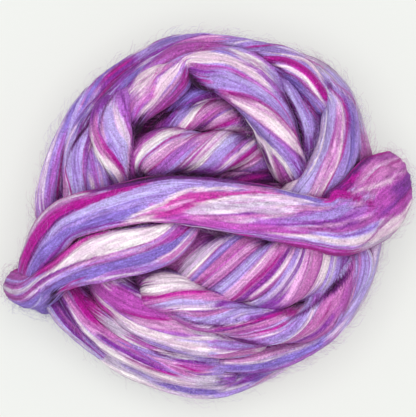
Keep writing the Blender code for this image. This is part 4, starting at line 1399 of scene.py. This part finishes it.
comb_strand("crown_pass", 3, (
    (-76, -40, 14, 15, 14),
    (-84, -38, 35, 17, 15),
    (-87, -29.5, 50, 15, 14),
    (-84, -19.5, 60, 17.5, 14),
    (-76, -7.8, 68, 21.5, 15),
    (-65, 0.5, 76, 19.5, 15),
    (-34, 7.5, 86, 20.5, 15),
    (-14, 8, 88, 23, 16),
    (21, 3, 87, 25, 16),
    (56, -4.1, 79, 26, 15),
    (65.7, -3.2, 75, 33, 15),
    (76, 1.5, 69, 36, 14),
    (87, 10, 58, 41, 14),
    (95, 17, 44, 32, 13),
    (93.5, 17, 29, 28, 13),
    (83, 12, 13, 24, 15),
    (58, 6, 6, 22, 15),
    (20, 1, 6, 22, 15),
), (
    ("periwinkle", (0, 20, 220), (36, 20, 200)),
    ("lavender", (0, 60, 30), (36, 60, 30)),
    ("purple", (38, 60, 160), (50, 60, 140)),
    ("mauve", (50, -44, 90), (62, -40, 80), (78, -22, 56), (100, -18, 50), (116, -18, 44)),
    ("lavender", (50, 20, 70), (80, 30, 80), (115, 40, 90), (135, 60, 80), (150, 80, 34),
     (168, 88, 20)),
    ("periwinkle", (50, 34, 30), (62, 34, 34), (76, 24, 26), (90, 18, 20), (106, 18, 26),
     (122, 24, 22)),
    ("violet", (52, 12, 24), (64, 9, 16), (78, 10, 8), (94, 6, 8), (108, 2, 10), (118, -4, 8)),
    ("pale_blue", (76, 48, 16), (96, 54, 28), (112, 64, 30), (126, 72, 26), (140, 84, 16)),
    ("lavender", (112, 36, 14), (130, 46, 16)),
    ("periwinkle", (84, 38, 3), (104, 42, 3), (124, 52, 4)),
    ("rose", (56, -16, 20), (70, -12, 18), (86, -16, 12)),
    ("magenta", (46, 82, 46), (60, 82, 42), (74, 79, 34), (86, 80, 30), (100, 84, 24),
     (112, 90, 18), (126, 96, 10)),
    ("plum", (50, 62, 10), (60, 66, 8), (76, 64, 6), (92, 72, 5)),
    ("mauve", (56, 104, 12), (72, 99, 10), (88, 97, 8), (104, 102, 10)),
    ("grey", (50, 116, 14), (62, 112, 14), (76, 110, 18), (90, 110, 18), (98, 107, 8)),
    ("pink", (60, 104, 5), (74, 104, 5), (88, 106, 6)),
    # The plum and shadow here are painted shade: the dark gap along the crown's upper edge.
    ("plum", (98, 114, 20), (112, 110, 26), (126, 110, 26), (146, 113, 22), (170, 109, 18),
     (188, 102, 14)),
    ("shadow", (116, 116, 16), (130, 116, 16), (150, 120, 12)),
    ("rose", (114, -14, 34), (122, -8, 40), (130, 0, 44), (138, 6, 44)),
    ("cream", (116, -2, 14), (124, -4, 22), (131, -6, 26)),
    ("mauve", (118, -20, 10), (130, -24, 12), (142, -26, 14)),
    ("orchid", (134, -10, 40), (144, -6, 40), (156, -16, 36)),
    ("hot_pink", (131, 14, 34), (137, 26, 44), (144, 38, 46), (152, 54, 32), (164, 64, 22),
     (176, 74, 16), (188, 82, 8)),
    ("pink", (134, 20, 8), (141, 34, 9), (147, 44, 7)),
    ("magenta", (136, 14, 4), (143, 30, 4), (149, 44, 4), (160, 58, 4), (176, 70, 4)),
    ("rose", (139, 50, 4), (145, 60, 4), (156, 70, 4), (170, 78, 3)),
    ("cream", (117, 12, 6), (126, 19, 8), (134, 34, 9), (140, 56, 9), (146, 70, 9), (158, 79, 6),
     (170, 84, 4)),
    ("pale_lavender", (146, 16, 14), (154, 28, 32), (164, 40, 44), (174, 50, 46), (184, 62, 38),
     (194, 72, 24), (206, 80, 8)),
    ("grey", (152, 26, 10), (164, 34, 16), (176, 46, 14), (188, 62, 10)),
    ("cream", (150, 36, 6), (162, 52, 7), (174, 64, 7), (186, 72, 6), (196, 78, 4)),
    ("cream", (156, 18, 5), (170, 28, 5), (184, 44, 5), (194, 60, 4)),
    ("pink", (166, 44, 3), (178, 56, 3), (190, 68, 3)),
    ("rose", (148, 4, 8), (160, 8, 9), (172, 14, 9), (184, 26, 9), (196, 44, 8), (206, 60, 6)),
    ("cream", (160, 3, 3), (172, 8, 4), (184, 20, 4), (196, 36, 3)),
    ("purple", (222, 30, 18), (236, 22, 22), (247, 12, 16)),
    ("pale_lavender", (174, 34, 12), (186, 38, 16), (196, 48, 12)),
    ("purple", (176, 6, 10), (186, 12, 18), (196, 22, 26), (206, 38, 32), (216, 52, 26),
     (226, 56, 14), (234, 44, 6)),
    ("lavender", (190, 16, 6), (200, 28, 12), (208, 40, 20), (218, 48, 26), (228, 46, 14)),
    ("violet", (176, 2, 4), (190, 8, 5), (204, 20, 4), (218, 30, 4), (232, 26, 3)),
    ("pink", (190, 2, 4), (202, 10, 5), (214, 20, 5), (226, 20, 4), (236, 12, 5)),
    ("violet", (146, -22, 26), (152, -26, 18)),
    ("orchid", (150, -12, 30), (166, -12, 32), (180, -8, 26), (196, -4, 14), (206, 4, 8)),
    ("purple", (158, -24, 12), (174, -20, 14), (192, -14, 10)),
    ("mauve", (166, -2, 4), (180, 0, 4), (194, 6, 4)),
    ("mauve", (198, 6, 5), (212, 12, 7), (226, 8, 8), (240, 6, 10), (252, 10, 10)),
    ("periwinkle", (206, 2, 4), (218, 2, 6), (230, -2, 6), (240, -6, 5)),
    ("cream", (186, -10, 3), (198, -8, 6), (210, -6, 9), (222, -10, 12), (232, -18, 18)),
    ("purple", (184, -21, 12), (200, -20, 10), (214, -20, 8), (226, -27, 6)),
    ("magenta", (168, -60, 64), (184, -64, 66), (204, -62, 72), (220, -64, 68), (232, -66, 60)),
    ("periwinkle", (182, -64, 60), (190, -66, 60)),
    ("orchid", (192, -42, 26), (206, -38, 12), (220, -44, 14)),
    ("grey", (230, -60, 60), (240, -50, 90), (256, -50, 90), (282, -50, 110)),
    ("cream", (230, -20, 16), (238, -30, 34), (250, -38, 56), (266, -46, 76), (284, -46, 80)),
    ("grey", (236, -40, 8), (250, -52, 12), (270, -60, 16)),
    ("pink", (240, -62, 10), (256, -76, 12), (276, -84, 12)),
    ("pink", (244, -26, 4), (258, -34, 4), (276, -40, 4)),
    ("mauve", (228, -24, 5), (238, -14, 5), (248, -8, 6), (262, -8, 8), (280, -8, 8)),
    ("periwinkle", (186, 94, 14), (200, 92, 18), (210, 88, 16)),
    ("grey", (188, 108, 14), (198, 106, 14), (206, 102, 8)),
    ("magenta", (210, 106, 40), (217, 102, 44), (224, 90, 36), (230, 72, 26), (234, 52, 22),
     (238, 32, 18), (243, 16, 8)),
    # The plum here, with the magenta line in it, is painted shade: the dark gap beside the
    # crown's right lobe.
    ("plum", (214, 116, 14), (224, 112, 20), (232, 104, 30)),
    ("plum", (230, 100, 30), (240, 93, 36), (248, 92, 34), (256, 100, 14)),
    ("magenta", (234, 98, 8), (240, 92, 14), (246, 85, 14), (251, 86, 6)),
    ("mauve", (247, 94, 8), (253, 92, 10)),
    ("mauve", (236, 66, 36), (250, 62, 60), (266, 56, 76), (284, 50, 80)),
    ("orchid", (238, 12, 24), (247, 10, 44), (258, 6, 54), (284, 2, 60)),
    ("violet", (254, 18, 12), (262, 12, 18), (274, 8, 24), (284, 8, 24)),
    ("rose", (238, 76, 12), (250, 74, 30), (262, 70, 40), (284, 66, 44)),
    ("mauve", (256, 88, 16), (266, 82, 22), (284, 78, 26)),
    ("rose", (240, 58, 8), (249, 53, 12), (257, 48, 12), (268, 44, 10)),
    ("pink", (235, 66, 7), (242, 50, 9), (250, 38, 8), (258, 30, 9)),
    ("cream", (236, 64, 3), (243, 49, 4), (251, 38, 4), (258, 31, 3)),
    ("pale_lavender", (244, 72, 4), (252, 68, 6), (262, 62, 5)),
    ("pale_blue", (237, 40, 6), (242, 34, 7)),
    ("magenta", (246, 64, 4), (258, 62, 4), (272, 54, 4)),
    ("pink", (240, 74, 4), (250, 72, 5), (264, 66, 5), (282, 60, 6)),
    ("pink", (250, 36, 3), (264, 32, 4), (280, 24, 5)),
    ("magenta", (252, 0, 6), (266, -4, 6), (280, -6, 6)),
    ("violet", (242, 4, 8), (256, 1, 9), (276, 2, 8)),
))

# ---- The shade in the gaps between the turns.
# Painted shade: wool that lies deep in a gap looks darker and redder, because what light gets
# there has gone through the wool round it, and this shade is painted into each turn's colour.
# Worked out from the shape, the same on all sides.
SIDE_STRIDE = 2
SHADE_REACH = 0.020
PAINTED_SHADE_TINT = np.array((0.30, 0.0, 0.28))
SHADE_STARTS = 0.58
SHADE_RANGE = 0.46
SHADE_STEEPNESS = 1.2
OPEN_GAIN = 1.6
RAYS = 28
RAY_START = 0.0006
RAY_LEAST_RISE = 0.1
SMOOTHINGS = 6
sky = {}


def ray_directions(count):
    """Directions spread evenly over a sphere."""
    z = 1 - (2 * np.arange(count) + 1) / count
    turn = np.arange(count) * math.pi * (3 - math.sqrt(5))
    flat = np.sqrt(1 - z * z)
    return np.column_stack([flat * np.cos(turn), flat * np.sin(turn), z])


def smooth_round(grid):
    """Evens out a grid of values over its neighbours along and round the strand."""
    padded = np.vstack([grid[:1], grid, grid[-1:]])
    grid = (padded[:-2] + 2 * padded[1:-1] + padded[2:]) / 4
    return (np.roll(grid, 1, axis=1) + 2 * grid + np.roll(grid, -1, axis=1)) / 4


def fewer_sides(grid):
    """The grid's values at every other side of the strand."""
    return grid[:, ::SIDE_STRIDE]


def all_sides(coarse, sides):
    """A grid from fewer_sides with the values between filled in, on the full sides."""
    wide = np.hstack([coarse, coarse[:, :1]])
    at = np.arange(sides) / SIDE_STRIDE
    return np.stack([np.interp(at, np.arange(wide.shape[1]), row) for row in wide])


def shade_the_gaps():
    """Finds how open each part of each turn lies, and paints shade into the colour of what lies
    deep.
    """
    points, faces = [], []
    for piece, grid, dye_and_shade, lines in laid.values():
        small = fewer_sides(grid) * MM
        faces.extend(tube_faces(*small.shape[:2], len(points)))
        points.extend(small.reshape(-1, 3).tolist())
    around = BVHTree.FromPolygons(points, faces)
    directions = [Vector(d) for d in ray_directions(RAYS)]
    for name, (piece, grid, dye_and_shade, lines) in laid.items():
        normals = np.zeros(len(piece.data.vertices) * 3, np.float32)
        piece.data.vertex_normals.foreach_get("vector", normals)
        normals = fewer_sides(normals.reshape(grid.shape))
        small = fewer_sides(grid) * MM
        open_share = np.zeros(small.shape[:2])
        outside = np.zeros(small.shape[:2])
        for i, k in np.ndindex(small.shape[:2]):
            normal = Vector(normals[i, k])
            start = Vector(small[i, k]) + normal * RAY_START
            tried = lit = 0.0
            for ray in directions:
                facing = ray.dot(normal)
                if facing > RAY_LEAST_RISE:
                    tried += facing
                    distance = around.ray_cast(start, ray)[3]
                    if distance is None:
                        outside[i, k] = 1.0
                    if distance is None or distance > SHADE_REACH:
                        lit += facing
            open_share[i, k] = lit / tried
        for _ in range(SMOOTHINGS):
            open_share = smooth_round(open_share)
        sky[name] = outside * np.clip(open_share * OPEN_GAIN, 0.0, 1.0)
        # Painted shade: the deeper a part lies, the more its colour is darkened towards dark
        # red-violet.
        deep = (SHADE_STARTS - all_sides(open_share, grid.shape[1])) / SHADE_RANGE
        deep = np.clip(deep, 0.0, 1.0)[..., None] ** SHADE_STEEPNESS
        shaded = dye_and_shade * (1 - deep + deep * PAINTED_SHADE_TINT)
        colours = np.concatenate([shaded, np.ones(shaded.shape[:2] + (1,))], axis=-1)
        piece.data.attributes["dye_and_shade"].data.foreach_set("color", colours.ravel())


shade_the_gaps()

# ---- The loose fibres that stand off the wool.
# Real: single wool fibres that have worked out of the top. Most are short and lie nearly
# flat along the strand; a few are long and stand off, and make the nest's soft outline.
FIBRE_THICKNESS = 0.045 * MM
FIBRE_SIDES = 3
FIBRE_BENDS = (-0.16, 0.05, 0.19)
FIBRE_SIZES = (0.35, 1.35)
ROOT_DEPTH = 0.3 * MM
NONE_BELOW = 6.0
ALL_ABOVE = 12.0


def fuzz_tree():
    """Grows bent fibres on a strand, along its lay, and gives them its dyes and shadow stripes.
    """
    tree = bpy.data.node_groups.new("wool_fuzz", "GeometryNodeTree")
    face = tree.interface
    face.new_socket("Wool", in_out="INPUT", socket_type="NodeSocketGeometry")
    for name, kind in (
        ("Fibres per square metre", "NodeSocketFloat"),
        ("Fibre length", "NodeSocketFloat"),
        ("Fibre thickness", "NodeSocketFloat"),
        ("Fibre lift", "NodeSocketFloat"),
        ("Stray angle", "NodeSocketFloat"),
        ("Steps", "NodeSocketInt"),
        ("Seed", "NodeSocketInt"),
    ):
        face.new_socket(name, in_out="INPUT", socket_type=kind)
    face.new_socket("Fibres", in_out="OUTPUT", socket_type="NodeSocketGeometry")
    at = Signal(tree)
    given = tree.nodes.new("NodeGroupInput")

    def take(name):
        return Signal(tree, given.outputs[name])

    def named(name, kind):
        return at.node("GeometryNodeInputNamedAttribute", {"data_type": kind}, {"Name": name})

    def vector(x, y, z):
        return at.node("ShaderNodeCombineXYZ", None, {0: x, 1: y, 2: z})

    def random(low, high, number):
        return at.node(
            "FunctionNodeRandomValue",
            {"data_type": "FLOAT"},
            {2: low, 3: high, "Seed": take("Seed") + number},
            output=1,
        )

    length = take("Fibre length")
    lift = take("Fibre lift")
    profile = at.node(
        "GeometryNodeCurvePrimitiveCircle",
        {"mode": "RADIUS"},
        {"Resolution": FIBRE_SIDES, "Radius": take("Fibre thickness") * 0.5},
    )
    shapes = tree.nodes.new("GeometryNodeJoinGeometry")
    for bend in FIBRE_BENDS:
        course = at.node(
            "GeometryNodeCurvePrimitiveBezierSegment",
            {"mode": "POSITION"},
            {
                "Resolution": take("Steps"),
                "Start": vector(length * -0.5, 0.0, -ROOT_DEPTH),
                "Start Handle": vector(length * -0.2, length * bend, lift),
                "End Handle": vector(length * 0.2, length * (-0.7 * bend), lift * 1.4),
                "End": vector(length * 0.5, length * (1.2 * bend), lift),
            },
        )
        tube = at.node(
            "GeometryNodeCurveToMesh",
            None,
            {"Curve": course, "Profile Curve": profile, "Fill Caps": True},
        )
        one = at.node("GeometryNodeGeometryToInstance", None, {0: tube})
        tree.links.new(one.socket, shapes.inputs[0])
    scatter = tree.nodes.new("GeometryNodeDistributePointsOnFaces")
    scatter.distribute_method = "RANDOM"
    tree.links.new(take("Wool").socket, scatter.inputs["Mesh"])
    density = take("Fibres per square metre") * named("open", "FLOAT")
    tree.links.new(density.socket, scatter.inputs["Density"])
    tree.links.new(take("Seed").socket, scatter.inputs["Seed"])
    normal = Signal(tree, scatter.outputs["Normal"])
    swing = random(-1.0, 1.0, 11) * take("Stray angle")
    along = at.node(
        "ShaderNodeVectorRotate",
        {"rotation_type": "AXIS_ANGLE"},
        {"Vector": named("lay", "FLOAT_VECTOR"), "Axis": normal, "Angle": swing},
    )
    turned = at.node(
        "FunctionNodeAxesToRotation",
        {"primary_axis": "Z", "secondary_axis": "X"},
        {"Primary Axis": normal, "Secondary Axis": along},
    )
    pick = at.node(
        "FunctionNodeRandomValue",
        {"data_type": "INT"},
        {4: 0, 5: len(FIBRE_BENDS) - 1, "Seed": take("Seed") + 23},
        output=2,
    )
    grown = at.node(
        "GeometryNodeInstanceOnPoints",
        None,
        {
            "Points": Signal(tree, scatter.outputs["Points"]),
            "Instance": Signal(tree, shapes.outputs[0]),
            "Pick Instance": True,
            "Instance Index": pick,
            "Rotation": turned,
            "Scale": random(*FIBRE_SIZES, 37),
        },
    )
    solid = at.node("GeometryNodeRealizeInstances", None, {0: grown})
    finished = at.node(
        "GeometryNodeSetMaterial", None, {"Geometry": solid, "Material": DYED_WOOL}
    )
    tree.links.new(finished.socket, tree.nodes.new("NodeGroupOutput").inputs[0])
    return tree


def fuzz_ground(names):
    """The surface that the fibres grow on: the turns' own, with fewer points."""
    points, faces, dye_and_shade, fibre, lay, openness = [], [], [], [], [], []
    base = 0
    for name in names:
        piece, grid, colours, lines = laid[name]
        small = fewer_sides(grid) * MM
        faces.extend(tube_faces(*small.shape[:2], base))
        base += small.shape[0] * small.shape[1]
        points.append(small.reshape(-1, 3))
        dye_and_shade.append(fewer_sides(colours).reshape(-1, 3))
        fibre.append(fewer_sides(lines).reshape(-1, 3))
        lay.append(np.gradient(small, axis=0).reshape(-1, 3))
        clear = (small[..., 2] / MM - NONE_BELOW) / (ALL_ABOVE - NONE_BELOW)
        openness.append((sky[name] * np.clip(clear, 0.0, 1.0)).ravel())
    mesh = bpy.data.meshes.new("fuzz_ground")
    mesh.from_pydata(np.concatenate(points), [], faces)
    dye_and_shade = np.concatenate(dye_and_shade)
    dye_and_shade = np.column_stack([dye_and_shade, np.ones(len(dye_and_shade))])
    mesh.attributes.new("dye_and_shade", "FLOAT_COLOR", "POINT").data.foreach_set("color", dye_and_shade.ravel())
    for kind, values in (("fibre", fibre), ("lay", lay)):
        spots = mesh.attributes.new(kind, "FLOAT_VECTOR", "POINT").data
        spots.foreach_set("vector", np.concatenate(values).ravel())
    spots = mesh.attributes.new("open", "FLOAT", "POINT").data
    spots.foreach_set("value", np.concatenate(openness))
    return mesh


FUZZ = fuzz_tree()


def grow_fuzz(name, strands, seed, per_square_metre, length, lift, stray, steps):
    """Grows the loose fibres of some turns, and makes them one piece.

    The length and the lift are in millimetres, and the stray angle is in radians.
    """
    ground = bpy.data.objects.new("ground", fuzz_ground(strands))
    bpy.context.scene.collection.objects.link(ground)
    grown = ground.modifiers.new("fuzz", "NODES")
    grown.node_group = FUZZ
    wanted = {
        "Fibres per square metre": per_square_metre,
        "Fibre length": length * MM,
        "Fibre thickness": FIBRE_THICKNESS,
        "Fibre lift": lift * MM,
        "Stray angle": stray,
        "Steps": steps,
        "Seed": seed,
    }
    for item in FUZZ.interface.items_tree:
        if item.name in wanted:
            grown[item.identifier] = wanted[item.name]
    graph = bpy.context.evaluated_depsgraph_get()
    graph.update()
    mesh = bpy.data.meshes.new_from_object(ground.evaluated_get(graph))
    mesh.name = name
    bpy.data.objects.remove(ground)
    mesh.materials.clear()
    finished_piece(name, mesh)


CROWN_TURNS = ("crown_pass", "tail_pass", "base_pass", "crown_bed")
EYE_TURNS = (
    "left_knee", "big_arch", "right_arch", "upper_right_inner", "magenta_curl", "arch_lining",
    "inner_upper", "inner_lower", "eye_floor", "left_inner", "second_left",
)
LOW_TURNS = (
    "centre_twisted", "lower_twisted", "lower_pink", "lower_left", "left_foot", "bottom_outer",
    "deep_lower", "outer_right", "right_inner", "outer_left", "low_belt", "high_belt",
    "foot_coil", "foot_belt",
)
grow_fuzz("down_on_the_crown", CROWN_TURNS, 1, 130000.0, 6.0, 1.5, 1.0, 3)
grow_fuzz("down_round_the_eye", EYE_TURNS, 2, 130000.0, 6.0, 1.3, 1.0, 3)
grow_fuzz("down_on_the_rim", LOW_TURNS, 3, 80000.0, 6.0, 1.5, 1.0, 3)
grow_fuzz("flyaway_fibres", tuple(laid), 4, 118000.0, 7.5, 3.4, 1.5, 3)

# ---- The floor, the soft light and the camera.
# A plain pale sheet of paper, faintly lit from below so that it stays even, a large soft lamp
# and a pale room above it, and a camera straight over the nest.
PAPER_SIZE = 3.0
CAMERA_HEIGHT = 1.6
CAMERA_Y = 0.00475
FOCUS_HEIGHT = 0.055
FRAME_HEIGHT = 0.2085
FILM = 36.0


def lay_paper():
    """The pale sheet on which the nest lies."""
    bm = bmesh.new()
    bmesh.ops.create_grid(bm, x_segments=8, y_segments=8, size=PAPER_SIZE / 2)
    mesh = bpy.data.meshes.new("paper")
    bm.to_mesh(mesh)
    bm.free()
    paper = bpy.data.materials.new("pale_paper")
    paper.use_nodes = True
    paper.node_tree.nodes.clear()
    at = Signal(paper.node_tree)
    place = at.node("ShaderNodeTexCoord", output="Object")
    grain = at.node("ShaderNodeTexNoise", None, {"Vector": place, "Scale": 4.0, "Detail": 2.0})
    tone = at.node("ShaderNodeVectorMath", {"operation": "SCALE"}, {
        0: (0.37, 0.375, 0.36), "Scale": 0.985 + 0.03 * grain,
    })
    shader = at.node("ShaderNodeBsdfPrincipled", None, {
        "Base Color": tone,
        "Roughness": 0.9,
        "Specular IOR Level": 0.1,
        "Emission Color": (0.98, 1.0, 0.95, 1.0),
        "Emission Strength": 0.42,
    })
    at.node("ShaderNodeOutputMaterial", None, {"Surface": shader})
    mesh.materials.append(paper)
    sheet = bpy.data.objects.new("paper", mesh)
    bpy.context.scene.collection.objects.link(sheet)


def hang_lamp(name, place, size, watts):
    """One round, soft lamp that points at the nest."""
    lamp = bpy.data.lights.new(name, "AREA")
    lamp.shape = "DISK"
    lamp.size = size
    lamp.energy = watts
    held = bpy.data.objects.new(name, lamp)
    held.location = place
    held.rotation_euler = held.location.to_track_quat("Z", "Y").to_euler()
    bpy.context.scene.collection.objects.link(held)


def set_camera():
    """The camera, straight above the nest."""
    lens = bpy.data.cameras.new("camera")
    lens.sensor_fit = "VERTICAL"
    lens.sensor_height = FILM
    lens.sensor_width = FILM
    lens.lens = FILM * (CAMERA_HEIGHT - FOCUS_HEIGHT) / FRAME_HEIGHT
    camera = bpy.data.objects.new("camera", lens)
    camera.location = (0.0, CAMERA_Y, CAMERA_HEIGHT)
    bpy.context.scene.collection.objects.link(camera)
    bpy.context.scene.camera = camera


lay_paper()
hang_lamp("soft_lamp", (-0.03, 0.07, 1.5), 1.2, 17.6)
set_camera()
room = bpy.data.worlds.new("soft_room")
room.use_nodes = True
room.node_tree.nodes["Background"].inputs["Color"].default_value = (0.96, 0.98, 1.0, 1.0)
room.node_tree.nodes["Background"].inputs["Strength"].default_value = 0.68
bpy.context.scene.world = room
bpy.context.scene.view_settings.view_transform = "Standard"
